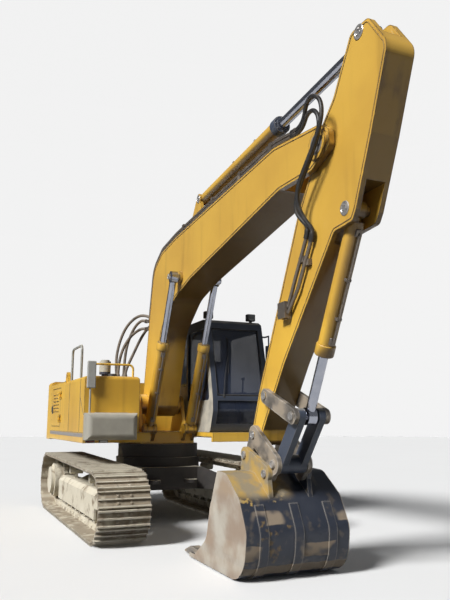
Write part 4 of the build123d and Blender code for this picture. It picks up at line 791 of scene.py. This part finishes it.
BOOM_OUTLINE = (
    about(BOOM_FOOT, [(-0.06, -0.2, 0.06), (0.19, -0.19, 0.09), (0.36, -0.06, 0.12)])
    + about(BOOM_BEND, [(-0.25, -0.72, 0.5), (0.38, -0.29, 0.7), (1.1, -0.11, 0.8)])
    + about(BOOM_TIP, [(-0.82, -0.19, 0.4), (-0.15, -0.215, 0.1), (0.19, -0.09, 0.09), (0.19, 0.09, 0.09),
                       (0.02, 0.205, 0.08), (-0.92, 0.34, 0.6)])
    + about(BOOM_BEND, [(0.4, 0.68, 0.8), (-0.28, 0.6, 0.25), (-0.7, 0.39, 0.3), (-0.87, -0.28, 0.6)])
    + about(BOOM_FOOT, [(-0.2, 0.06, 0.12)]))
STICK_OUTLINE = (
    about(CROWD_EYE, [(0.15, 0.06, 0.09), (0.4, -0.32, 0.16)])
    + about(CURL_FOOT, [(0.44, 0.56, 0.3), (0.17, -0.06, 0.06), (0.11, -0.15, 0.06), (-0.19, -0.17, 0.06)])
    + about(ROCKER_PIN, [(0.37, 0.33, 0.4)])
    + about(BUCKET_PIN, [(0.15, 0.06, 0.06), (0.11, -0.11, 0.07), (-0.11, -0.11, 0.07), (-0.13, 0.04, 0.06)])
    + about(ROCKER_PIN, [(-0.21, 0.09, 0.3)])
    + about(BOOM_TIP, [(-0.56, -0.56, 0.5), (-0.19, -0.06, 0.1), (-0.16, 0.12, 0.1), (0.17, 0.42, 0.3)])
    + about(CROWD_EYE, [(-0.13, 0.06, 0.09)]))


def weld_bead(outline, y, depth, radius):
    """Bead along a side plate's outline, drawn in from its edge by a depth."""
    flat = drawn_in(rounded(outline, 13), depth)
    path = np.stack([flat[:, 0], np.full(len(flat), y), flat[:, 1]], -1)
    return loop_tube(path, radius, LEFT)


def belt(count):
    """Corners of the shoes along the track's loop: equal steps along two arcs and their tangents."""
    rear, front = np.array(SPROCKET[:2]), np.array(IDLER[:2])
    low, turn = -np.pi / 2 - 0.0074, np.linspace(0.0, np.pi, 200)[:, None]
    nose = front + IDLER[2] * np.hstack([np.cos(low + turn), np.sin(low + turn)])
    tail = rear + SPROCKET[2] * np.hstack([np.cos(low + np.pi + turn), np.sin(low + np.pi + turn)])
    loop = np.vstack([tail[-1:], nose, tail])
    return at_steps(loop, np.linspace(0.0, run_along(loop)[-1], count + 1))


def track_bolts(side, radius):
    """Four bolt heads on each shoe and a pin's end on each link, for the track on one side."""
    corners = belt(SHOE_COUNT)
    along = unit(np.diff(corners, axis=0))
    out = np.stack([along[:, 1], -along[:, 0]], -1)
    length = np.linalg.norm(np.diff(corners, axis=0), axis=1, keepdims=True)
    shapes = []
    for share in (0.30, 0.70):
        heads = corners[:-1] + along * length * share
        for y in (side * HALF_GAUGE - LINK_OFFSET, side * HALF_GAUGE + LINK_OFFSET):
            for at, way in zip(heads, out):
                shapes.append(bolt((at[0], y, at[1]), (way[0], 0.0, way[1]), radius))
    pins = corners[:-1] - out * 0.075
    pin_end = [(0.026, -0.004), (0.026, 0.007), (0.018, 0.012)]
    for lean in (-1.0, 1.0):
        y = side * HALF_GAUGE + lean * 0.1075
        for at in pins:
            shapes.append(turned((at[0], y, at[1]), (0.0, lean, 0.0), pin_end, 10))
    return together(shapes)


def cylinder_line(foot, eye, y):
    """Place of a cylinder's foot and the direction to its eye."""
    return np.array([foot[0], y, foot[1]]), unit(np.array([eye[0] - foot[0], 0.0, eye[1] - foot[1]]))


def oil_line(foot, eye, y, radius, length, turn):
    """Steel line beside a cylinder's barrel: it rises from a block near the foot and dips to the gland."""
    start, along = cylinder_line(foot, eye, y)
    out = np.array([along[2], 0.0, -along[0]]) * turn
    near, far = 0.20, length - 0.17
    line = [(near, 0.0), (near, 0.024), (0.26, 0.030), (length - 0.24, 0.030), (far, 0.024), (far, 0.0)]
    path = spline([start + along * run + out * (radius + lift) for run, lift in line], 8)
    shapes = [tube(path, 0.011, LEFT)]
    block = (0.075, 0.065, 0.012, 0.030)
    clamp = (0.030, 0.060, 0.006, 0.048)
    for run, sunk, form in ((near, 0.012, block), (far, 0.012, block),
                            (0.45 * length, 0.008, clamp), (0.72 * length, 0.008, clamp)):
        centre = start + along * run + out * (radius - sunk)
        shapes.append(tile(centre, along, np.cross(out, along), *form))
    return together(shapes)


def gland(foot, eye, y, radius, length, rod):
    """Bolted gland on a barrel's mouth: a turned collar with a lip round the rod, and eight bolts."""
    start, along = cylinder_line(foot, eye, y)
    mouth = start + along * length
    wide = radius + 0.0135
    collar = [(wide - 0.005, -0.112), (wide, -0.106), (wide, -0.006), (wide - 0.006, 0.003),
              (rod + 0.014, 0.003), (rod + 0.011, 0.014), (rod + 0.002, 0.014)]
    shapes = [turned(mouth, along, collar, 36)]
    first, second = np.array(LEFT), np.cross(along, LEFT)
    for turn in np.linspace(0.0, 2 * np.pi, 8, endpoint=False):
        at = mouth + 0.5 * (wide + rod) * (np.cos(turn) * first + np.sin(turn) * second)
        shapes.append(bolt(at + along * 0.003, along, 0.011))
    return together(shapes)


# Cylinders: name, barrel's body, foot, eye, distances from the middle, radii of barrel and rod,
# barrel's length, side of the barrel with the oil line, gland's finish
CYLINDERS = [
    ("boom_cylinder", "boom_cylinder_barrels", LIFT_FOOT, LIFT_EYE, (-0.34, 0.34), 0.082, 0.050, 1.45, 1.0,
     "yellow_paint"),
    ("stick_cylinder", "stick_cylinder_barrel", CROWD_FOOT, CROWD_EYE, (0.0,), 0.095, 0.058, 2.42, -1.0,
     "dark_paint"),
    ("bucket_cylinder", "bucket_cylinder_barrel", CURL_FOOT, CURL_EYE, (0.0,), 0.085, 0.050, 1.44, -1.0,
     "yellow_paint"),
]


def cushion(size, centre):
    """Crowned cushion: a cube's grid pressed to a superellipsoid, |x|^n + |y|^n + |z|^n = 1 with n = 5."""
    u = np.linspace(-1.0, 1.0, 24)
    a, b = np.meshgrid(u, u, indexing="ij")
    one = np.ones_like(a)
    shapes = []
    for sign in (-1.0, 1.0):
        for face in ((sign * one, a, b), (a, sign * one, b), (a, b, sign * one)):
            cube = np.stack(face, -1)
            ball = cube / (np.abs(cube) ** 5).sum(-1, keepdims=True) ** 0.2
            points = np.asarray(centre) + ball * np.asarray(size) / 2
            shapes.append((points.reshape(-1, 3), grid_faces(24, 24, False, False).tolist()))
    return together(shapes)


def swell(pad, furthest):
    """Cloth blown up from inside for twenty frames; each point keeps at most furthest of its move."""
    scene = bpy.context.scene
    rest = vertex_places(pad.data)
    cloth = pad.modifiers.new("swell", "CLOTH")
    cloth.settings.use_pressure = True
    cloth.settings.uniform_pressure_force = 4.0
    cloth.settings.effector_weights.gravity = 0.0
    cloth.point_cache.frame_start = 1
    cloth.point_cache.frame_end = 20
    for step in range(1, 21):
        scene.frame_set(step)
    blown = pad.evaluated_get(bpy.context.evaluated_depsgraph_get()).data
    move = vertex_places(blown) - rest
    reach = np.linalg.norm(move, axis=1, keepdims=True)
    pad.modifiers.remove(cloth)
    scene.frame_set(1)
    return rest + move * np.minimum(1.0, furthest / np.maximum(reach, 1e-9))


def seat_pad(name, size, centre, channels, limit):
    """One padded piece: cushion, fine even mesh, swelling, then sewn channels pressed into its face.
    A channel at v sinks each point by 9 mm times exp(-(distance / 9 mm) squared)."""
    pad = piece(name, cushion(size, centre), "seat_fabric", None)
    even = pad.modifiers.new("even", "REMESH")
    even.mode = "VOXEL"
    even.voxel_size = 0.008
    even.use_smooth_shade = True
    even_mesh = bpy.data.meshes.new_from_object(pad.evaluated_get(bpy.context.evaluated_depsgraph_get()))
    pad.modifiers.remove(even)
    pad.data = even_mesh
    places = swell(pad, limit)
    local = places - np.asarray(centre)
    thin = int(np.argmin(size))
    depth = np.clip(local[:, thin] / (size[thin] / 2), -1, 1)
    for axis, at in channels:
        places[:, thin] -= depth * 0.009 * np.exp(-((local[:, axis] - at) / 0.009) ** 2)
    even_mesh.vertices.foreach_set("co", places.ravel())
    even_mesh.update()
    even_mesh.shade_smooth()
    if not even_mesh.materials:
        even_mesh.materials.append(FINISHES["seat_fabric"])
    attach(pad, "upperstructure")
    return pad


def louvre(x, width, side, z):
    """Pressed hood over a slot whose top is at z: a quarter-round sheet along the slot, flat at its ends.
    Out = depth sin a, height = z + 6 mm - 26 mm (1 - cos a), depth = 17 mm (1 - |2 s - 1|^6) at share s."""
    share = np.linspace(0.0, 1.0, 21)[:, None]
    depth = 0.017 * (1 - np.abs(2 * share - 1) ** 6)
    turn = np.linspace(0.0, np.pi / 2, 7)[None]
    outer = depth * np.sin(turn), z + 0.006 - 0.026 * (1 - np.cos(turn)) + 0 * share
    inner = outer[0][:, ::-1] - 0.003, outer[1][:, ::-1] - 0.002
    out, up = np.hstack([outer[0], inner[0]]), np.hstack([outer[1], inner[1]])
    along = np.broadcast_to(x + width * share, out.shape)
    return closed(np.stack([along, side * (HOUSE_SIDE + out), up], -1))


# Solids that wear another finish than their slot's: caked, rubbed bare or painted in two tones
WORN_NODES = {
    "slew_ring": "frame_steel", "track_frames": "track_steel", "rocker_arms": "worn_steel",
    "power_link": "dark_paint", "cab_frame": "cab_paint", "cab_door": "cab_paint", "lamps": "black_plastic",
    "handrails": "rail_paint", "precleaner": "bowl_plastic",
}


# Operators

class EXCAVATOR_OT_finishes(bpy.types.Operator):
    """Give every solid the finish of its material slot"""

    bl_idname = "excavator.finishes"
    bl_label = "Finishes"

    def execute(self, context):
        make_finishes(context.scene.excavator_colours)
        for row in frame["record"]["subparts"]:
            node = frame["nodes"][row["node"]]
            node.data.materials.clear()
            node.data.materials.append(FINISHES[WORN_NODES.get(row["node"], row["material_slot"])])
        return {"FINISHED"}


class EXCAVATOR_OT_hoses(bpy.types.Operator):
    """Lay the hoses that bend at the boom's foot and at its nose"""

    bl_idname = "excavator.hoses"
    bl_label = "Hoses"

    def execute(self, context):
        sizes = context.scene.excavator_sizes
        for name, finish, radius, routes, first, second, start, end in (
                ("boom_hose", "dusty_rubber", sizes.boom_hose, BOOM_HOSES, "upperstructure", "boom",
                 (-2.60, 0.0, 2.42), (-2.06, 0.0, 3.26)),
                ("stick_hose", "hose_rubber", sizes.stick_hose, STICK_HOSES, "boom", "stick",
                 (3.42, 0.0, 4.56), (3.56, 0.0, 3.52))):
            shapes = [hose(route, radius, sizes.sides) for route in routes]
            shapes += [mirrored(shape) for shape in shapes]
            made = piece(name + "_bundle", together(shapes), finish, None)
            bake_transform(made)
            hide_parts(name + "s")
        ports = tile((-1.745, 0.0, 3.245), (0.0, -1.0, 0.0), (0.211, 0.0, 0.978), 0.33, 0.19, 0.025, 0.045)
        piece("hose_ports", ports, "dark_paint", "boom")
        return {"FINISHED"}


class EXCAVATOR_OT_seat(bpy.types.Operator):
    """Sew the operator's seat"""

    bl_idname = "excavator.seat"
    bl_label = "Seat"

    def execute(self, context):
        limit = context.scene.excavator_sizes.swell
        squab = seat_pad("seat_squab", (0.480, 0.480, 0.112), (-1.445, 0.965, 1.925),
                         [(1, -0.15), (1, 0.15), (0, 0.13)], limit)
        seat_pad("seat_backrest", (0.100, 0.456, 0.686), (-1.765, 0.965, 2.285),
                 [(1, -0.14), (1, 0.14), (2, -0.12), (2, 0.16)], limit)
        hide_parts("seat_cushions")
        return {"FINISHED"}


class EXCAVATOR_OT_tracks(bpy.types.Operator):
    """Bolt the track shoes to their links"""

    bl_idname = "excavator.tracks"
    bl_label = "Track bolts"

    def execute(self, context):
        radius = context.scene.excavator_sizes.shoe_bolt
        for name, side in (("track_bolts_right", -1.0), ("track_bolts_left", 1.0)):
            piece(name, track_bolts(side, radius), "track_steel", "undercarriage")
        return {"FINISHED"}


class EXCAVATOR_OT_pins(bpy.types.Operator):
    """Close the pins' ends with bolted caps"""

    bl_idname = "excavator.pins"
    bl_label = "Pin caps"

    def execute(self, context):
        for name, body, pin, y, radius in PIN_CAPS:
            caps = together([pin_cap(pin, -y, radius), pin_cap(pin, y, radius)])
            piece(name, caps, "machined_steel", body)
        return {"FINISHED"}


class EXCAVATOR_OT_welds(bpy.types.Operator):
    """Run the weld beads along the boom's and the stick's side plates"""

    bl_idname = "excavator.welds"
    bl_label = "Weld beads"

    def execute(self, context):
        radius = context.scene.excavator_sizes.bead
        for name, body, rows, y in (("boom_welds", "boom", BOOM_OUTLINE, 0.225),
                                    ("stick_welds", "stick", STICK_OUTLINE, 0.150)):
            beads = together([weld_bead(rows, side * y, 0.030, radius) for side in (-1.0, 1.0)])
            piece(name, beads, "yellow_paint", body)
        return {"FINISHED"}


class EXCAVATOR_OT_cylinders(bpy.types.Operator):
    """Fit the cylinders' oil lines and bolted glands"""

    bl_idname = "excavator.cylinders"
    bl_label = "Cylinders"

    def execute(self, context):
        for name, body, foot, eye, places, radius, rod, length, turn, finish in CYLINDERS:
            lines = together([oil_line(foot, eye, y, radius, length, turn) for y in places])
            piece(name + "_lines", lines, "tube_steel", body)
            glands = together([gland(foot, eye, y, radius, length, rod) for y in places])
            piece(name + "_glands", glands, finish, body)
        return {"FINISHED"}


class EXCAVATOR_OT_cab_trim(bpy.types.Operator):
    """Fit the cab's seals, wiper, door handle, lamp lenses and mirror glass"""

    bl_idname = "excavator.cab_trim"
    bl_label = "Cab trim"

    def execute(self, context):
        foot, brow = np.array([-0.545, 1.92]), np.array([-0.835, 3.16])
        lean = unit(brow - foot)
        out = np.array([lean[1], -lean[0]])

        def on_screen(y, up, lift):
            """Point on the windscreen: across, along its slope from the sill, and off its face."""
            at = foot + lean * up + out * lift
            return (at[0], y, at[1])

        pane = [(0.550, 0.06, 0.05), (1.380, 0.06, 0.05), (1.380, 1.165, 0.05), (0.550, 1.165, 0.05)]
        corners = rounded(pane, 7)
        seal = loop_tube([on_screen(y, up, -0.012) for y, up in corners], 0.011, (out[0], 0.0, out[1]))
        piece("windscreen_seal", seal, "rubber_seal", "upperstructure")
        arm = spline([on_screen(0.66, 0.03, 0.0), on_screen(0.665, 0.10, 0.006), on_screen(0.72, 0.45, 0.0),
                      on_screen(0.80, 0.72, -0.006)], 8)
        blade = spline([on_screen(0.775, 0.42, -0.012), on_screen(0.80, 0.72, -0.011),
                        on_screen(0.825, 1.02, -0.012)], 8)
        boss = [(0.022, 0.0), (0.022, 0.012), (0.012, 0.018)]
        wiper = together([tube(arm, np.linspace(0.011, 0.006, len(arm)), LEFT), tube(blade, 0.007, LEFT),
                          turned(on_screen(0.66, 0.03, -0.006), (out[0], 0.0, out[1]), boss)])
        piece("wiper", wiper, "rubber_seal", "upperstructure")
        grip = spline([(x, y, 1.93) for x, y in ((-0.855, 1.470), (-0.850, 1.496), (-0.750, 1.496),
                                                 (-0.745, 1.470))], 8)
        plate = tile((-0.80, 1.466, 1.93), (-1.0, 0.0, 0.0), UP, 0.16, 0.09, 0.025, 0.010)
        handle = together([plate, tube(grip, 0.009, UP)])
        piece("door_handle", handle, "black_plastic", "cab_door")
        lenses = [tile((-0.981, y, 3.310), LEFT, UP, 0.118, 0.092, 0.018, 0.008) for y in (0.575, 1.355)]
        piece("work_lenses", together(lenses), "work_lens", "upperstructure")
        for name, y, finish in (("clear_lens", -1.18, "lamp_lens"), ("red_lens", -1.38, "red_lens")):
            front = tile((-0.751, y, 1.279), LEFT, UP, 0.112, 0.026, 0.008, 0.006)
            piece(name, front, finish, "upperstructure")
        glass = [tile((x, y, z), (0.0, -1.0, 0.0), UP, 0.096, height, 0.018, 0.003)
                 for x, y, z, height in ((-0.749, -1.40, 2.25, 0.345), (-0.709, 1.535, 2.625, 0.300))]
        piece("mirror_glass", together(glass), "mirror_glass", "upperstructure")
        return {"FINISHED"}


class EXCAVATOR_OT_house_trim(bpy.types.Operator):
    """Fit the house's stripes, latches, louvres, filler cap, treads, seams and hood bolts"""

    bl_idname = "excavator.house_trim"
    bl_label = "House trim"

    def execute(self, context):
        stripes = []
        for side in (-1.0, 1.0):
            centre = (-2.335, side * (HOUSE_SIDE - 0.0005), 1.365)
            stripes.append(tile(centre, (-side, 0.0, 0.0), UP, 3.05, 0.055, 0.008, 0.003))
        piece("side_stripes", together(stripes), "stripe_paint", "upperstructure")
        for name, side, x in (("right", -1.0, -3.66), ("left", 1.0, -2.91)):
            latch = [tile((x, side * y, 1.78), (-side, 0.0, 0.0), UP, width, height, radius, 0.012)
                     for y, width, height, radius in ((HOUSE_SIDE, 0.085, 0.15, 0.02),
                                                      (HOUSE_SIDE + 0.010, 0.040, 0.10, 0.012))]
            piece("latch_" + name, together(latch), "black_plastic", "side_door_" + name)
            hoods = [louvre(start, SLOT_WIDTH, side, top) for start in SLOT_STARTS for top in SLOT_TOPS]
            piece("louvres_" + name, together(hoods), "yellow_paint", "side_door_" + name)
        cap = [(0.085, 0.0), (0.085, 0.022), (0.068, 0.026), (0.066, 0.060), (0.058, 0.068), (0.012, 0.070)]
        filler = turned((-1.28, -0.95, 2.238), UP, cap)
        piece("filler_cap", filler, "black_plastic", "upperstructure")
        treads = [tile((x, y, 2.2385), (1.0, 0.0, 0.0), LEFT, width, 0.16, 0.02, 0.006)
                  for x, y, width in ((-1.95, -0.82, 0.75), (-1.95, -1.06, 0.75), (-1.00, -0.86, 0.26))]
        treads.append(tile((-0.67, -1.10, 1.6885), (1.0, 0.0, 0.0), LEFT, 0.08, 0.50, 0.02, 0.006))
        studs = [turned((x, y, 2.243), UP, [(0.013, 0.0), (0.011, 0.006), (0.004, 0.007)], 8)
                 for y in (-0.86, -0.78, -1.10, -1.02) for x in np.linspace(-2.28, -1.62, 12)]
        piece("tread_plates", together(treads + studs), "grey_paint", "upperstructure")
        seams = [((-1.10, 1.415), (-1.10, 2.20)), ((-0.80, 1.66), (-1.09, 1.92)),
                 ((-2.00, 1.415), (-2.00, 2.20))]
        lines = [tube(np.linspace((x, -HOUSE_SIDE, z), (end_x, -HOUSE_SIDE, end_z), 12), 0.0045, LEFT, 8)
                 for (x, z), (end_x, end_z) in seams]
        piece("tank_seams", together(lines), "rubber_seal", "upperstructure")
        heads = [bolt((x, y, 2.240), UP, 0.014)
                 for x in np.linspace(-3.72, -2.98, 6) for y in (-0.94, 0.94)]
        piece("hood_bolts", together(heads), "machined_steel", "engine_hood")
        return {"FINISHED"}


def sheet(name, points, finish):
    """Stage piece: a grid of points closed round its columns, linked to the scene."""
    mesh = bpy.data.meshes.new(name)
    mesh.from_pydata(points.reshape(-1, 3).tolist(), [], grid_faces(*points.shape[:2], False, True).tolist())
    mesh.materials.append(finish.material)
    made = bpy.data.objects.new(name, mesh)
    bpy.context.scene.collection.objects.link(made)
    return made


def backdrop():
    """Pale dome round the stage, which the camera sees and which throws no light."""
    rise, turn = np.meshgrid(np.linspace(-0.2, 1.5, 24), np.linspace(0.0, 2 * np.pi, 64, endpoint=False),
                             indexing="ij")
    points = 80.0 * np.stack([np.cos(rise) * np.cos(turn), np.cos(rise) * np.sin(turn), np.sin(rise)], -1)
    f = Finish("backdrop")
    f.set(Base_Color=(0.0, 0.0, 0.0), Roughness=1.0, Emission_Color=(0.88, 0.88, 0.88), Emission_Strength=1.0)
    dome = sheet("backdrop", points, f)
    dome.visible_diffuse = dome.visible_glossy = dome.visible_shadow = False
    return dome


def ground():
    """Pale floor that the camera sees and that throws no light back."""
    radius, turn = np.linspace(0.01, 60.0, 24), np.linspace(0.0, 2 * np.pi, 64, endpoint=False)
    points = radius[:, None, None] * np.stack([np.cos(turn), np.sin(turn), np.zeros_like(turn)], -1)[None]
    f = Finish("floor")
    f.set(Base_Color=f.mix(f.noise(0.4), (0.75, 0.75, 0.745), (0.78, 0.78, 0.775)), Roughness=0.9)
    floor = sheet("floor", points, f)
    floor.visible_diffuse = False
    return floor


class EXCAVATOR_OT_stage(bpy.types.Operator):
    """Set the pale floor, the soft light and the camera"""

    bl_idname = "excavator.stage"
    bl_label = "Stage"

    def execute(self, context):
        scene = context.scene
        ground()
        backdrop()
        world = bpy.data.worlds.new("studio")
        world.use_nodes = True
        background = world.node_tree.nodes["Background"]
        background.inputs["Color"].default_value = (0.92, 0.95, 1.0, 1.0)
        background.inputs["Strength"].default_value = 0.14
        scene.world = world
        scene.view_settings.view_transform = "Standard"
        for name, direction, softness, power in (
                ("key", (-4.0, 10.0, -8.5), 16.0, 5.0), ("fill", (-6.0, -7.0, -5.0), 60.0, 0.10)):
            light = bpy.data.lights.new(name, "SUN")
            light.angle = math.radians(softness)
            light.energy = power
            lamp = bpy.data.objects.new(name, light)
            lamp.rotation_euler = Vector(direction).to_track_quat("-Z", "Y").to_euler()
            scene.collection.objects.link(lamp)
        lens_data = bpy.data.cameras.new("camera")
        lens_data.sensor_fit = "VERTICAL"
        lens_data.sensor_height = SENSOR_HEIGHT
        lens_data.lens = FOCAL_PIXELS / PICTURE_HEIGHT * SENSOR_HEIGHT
        camera = bpy.data.objects.new("camera", lens_data)
        yaw, pitch = math.radians(CAMERA_YAW), math.radians(CAMERA_PITCH)
        ahead = Vector((-math.cos(yaw) * math.cos(pitch), math.sin(yaw) * math.cos(pitch), math.sin(pitch)))
        camera.location = CAMERA_PLACE
        camera.rotation_euler = ahead.to_track_quat("-Z", "Y").to_euler()
        scene.collection.objects.link(camera)
        scene.camera = camera
        return {"FINISHED"}


STEPS = (
    EXCAVATOR_OT_finishes, EXCAVATOR_OT_hoses, EXCAVATOR_OT_seat, EXCAVATOR_OT_tracks, EXCAVATOR_OT_pins,
    EXCAVATOR_OT_welds, EXCAVATOR_OT_cylinders, EXCAVATOR_OT_cab_trim, EXCAVATOR_OT_house_trim,
    EXCAVATOR_OT_stage,
)


class EXCAVATOR_PT_looks(bpy.types.Panel):
    """The excavator's looks, step by step"""

    bl_idname = "EXCAVATOR_PT_looks"
    bl_label = "Excavator"
    bl_space_type = "VIEW_3D"
    bl_region_type = "UI"
    bl_category = "Excavator"

    def draw(self, context):
        for group in (context.scene.excavator_colours, context.scene.excavator_sizes):
            for name in group.__annotations__:
                self.layout.prop(group, name)
        for step in STEPS:
            self.layout.operator(step.bl_idname)


CLASSES = (ExcavatorColours, ExcavatorSizes, *STEPS, EXCAVATOR_PT_looks)


def register():
    """Add the classes and their properties."""
    for each in CLASSES:
        bpy.utils.register_class(each)
    bpy.types.Scene.excavator_colours = PointerProperty(type=ExcavatorColours)
    bpy.types.Scene.excavator_sizes = PointerProperty(type=ExcavatorSizes)


def unregister():
    """Remove the classes and their properties."""
    del bpy.types.Scene.excavator_sizes
    del bpy.types.Scene.excavator_colours
    for each in reversed(CLASSES):
        bpy.utils.unregister_class(each)


def main():
    """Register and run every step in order."""
    register()
    bpy.ops.excavator.finishes()
    bpy.ops.excavator.hoses()
    bpy.ops.excavator.seat()
    bpy.ops.excavator.tracks()
    bpy.ops.excavator.pins()
    bpy.ops.excavator.welds()
    bpy.ops.excavator.cylinders()
    bpy.ops.excavator.cab_trim()
    bpy.ops.excavator.house_trim()
    bpy.ops.excavator.stage()


if __name__ == "__main__":
    main()
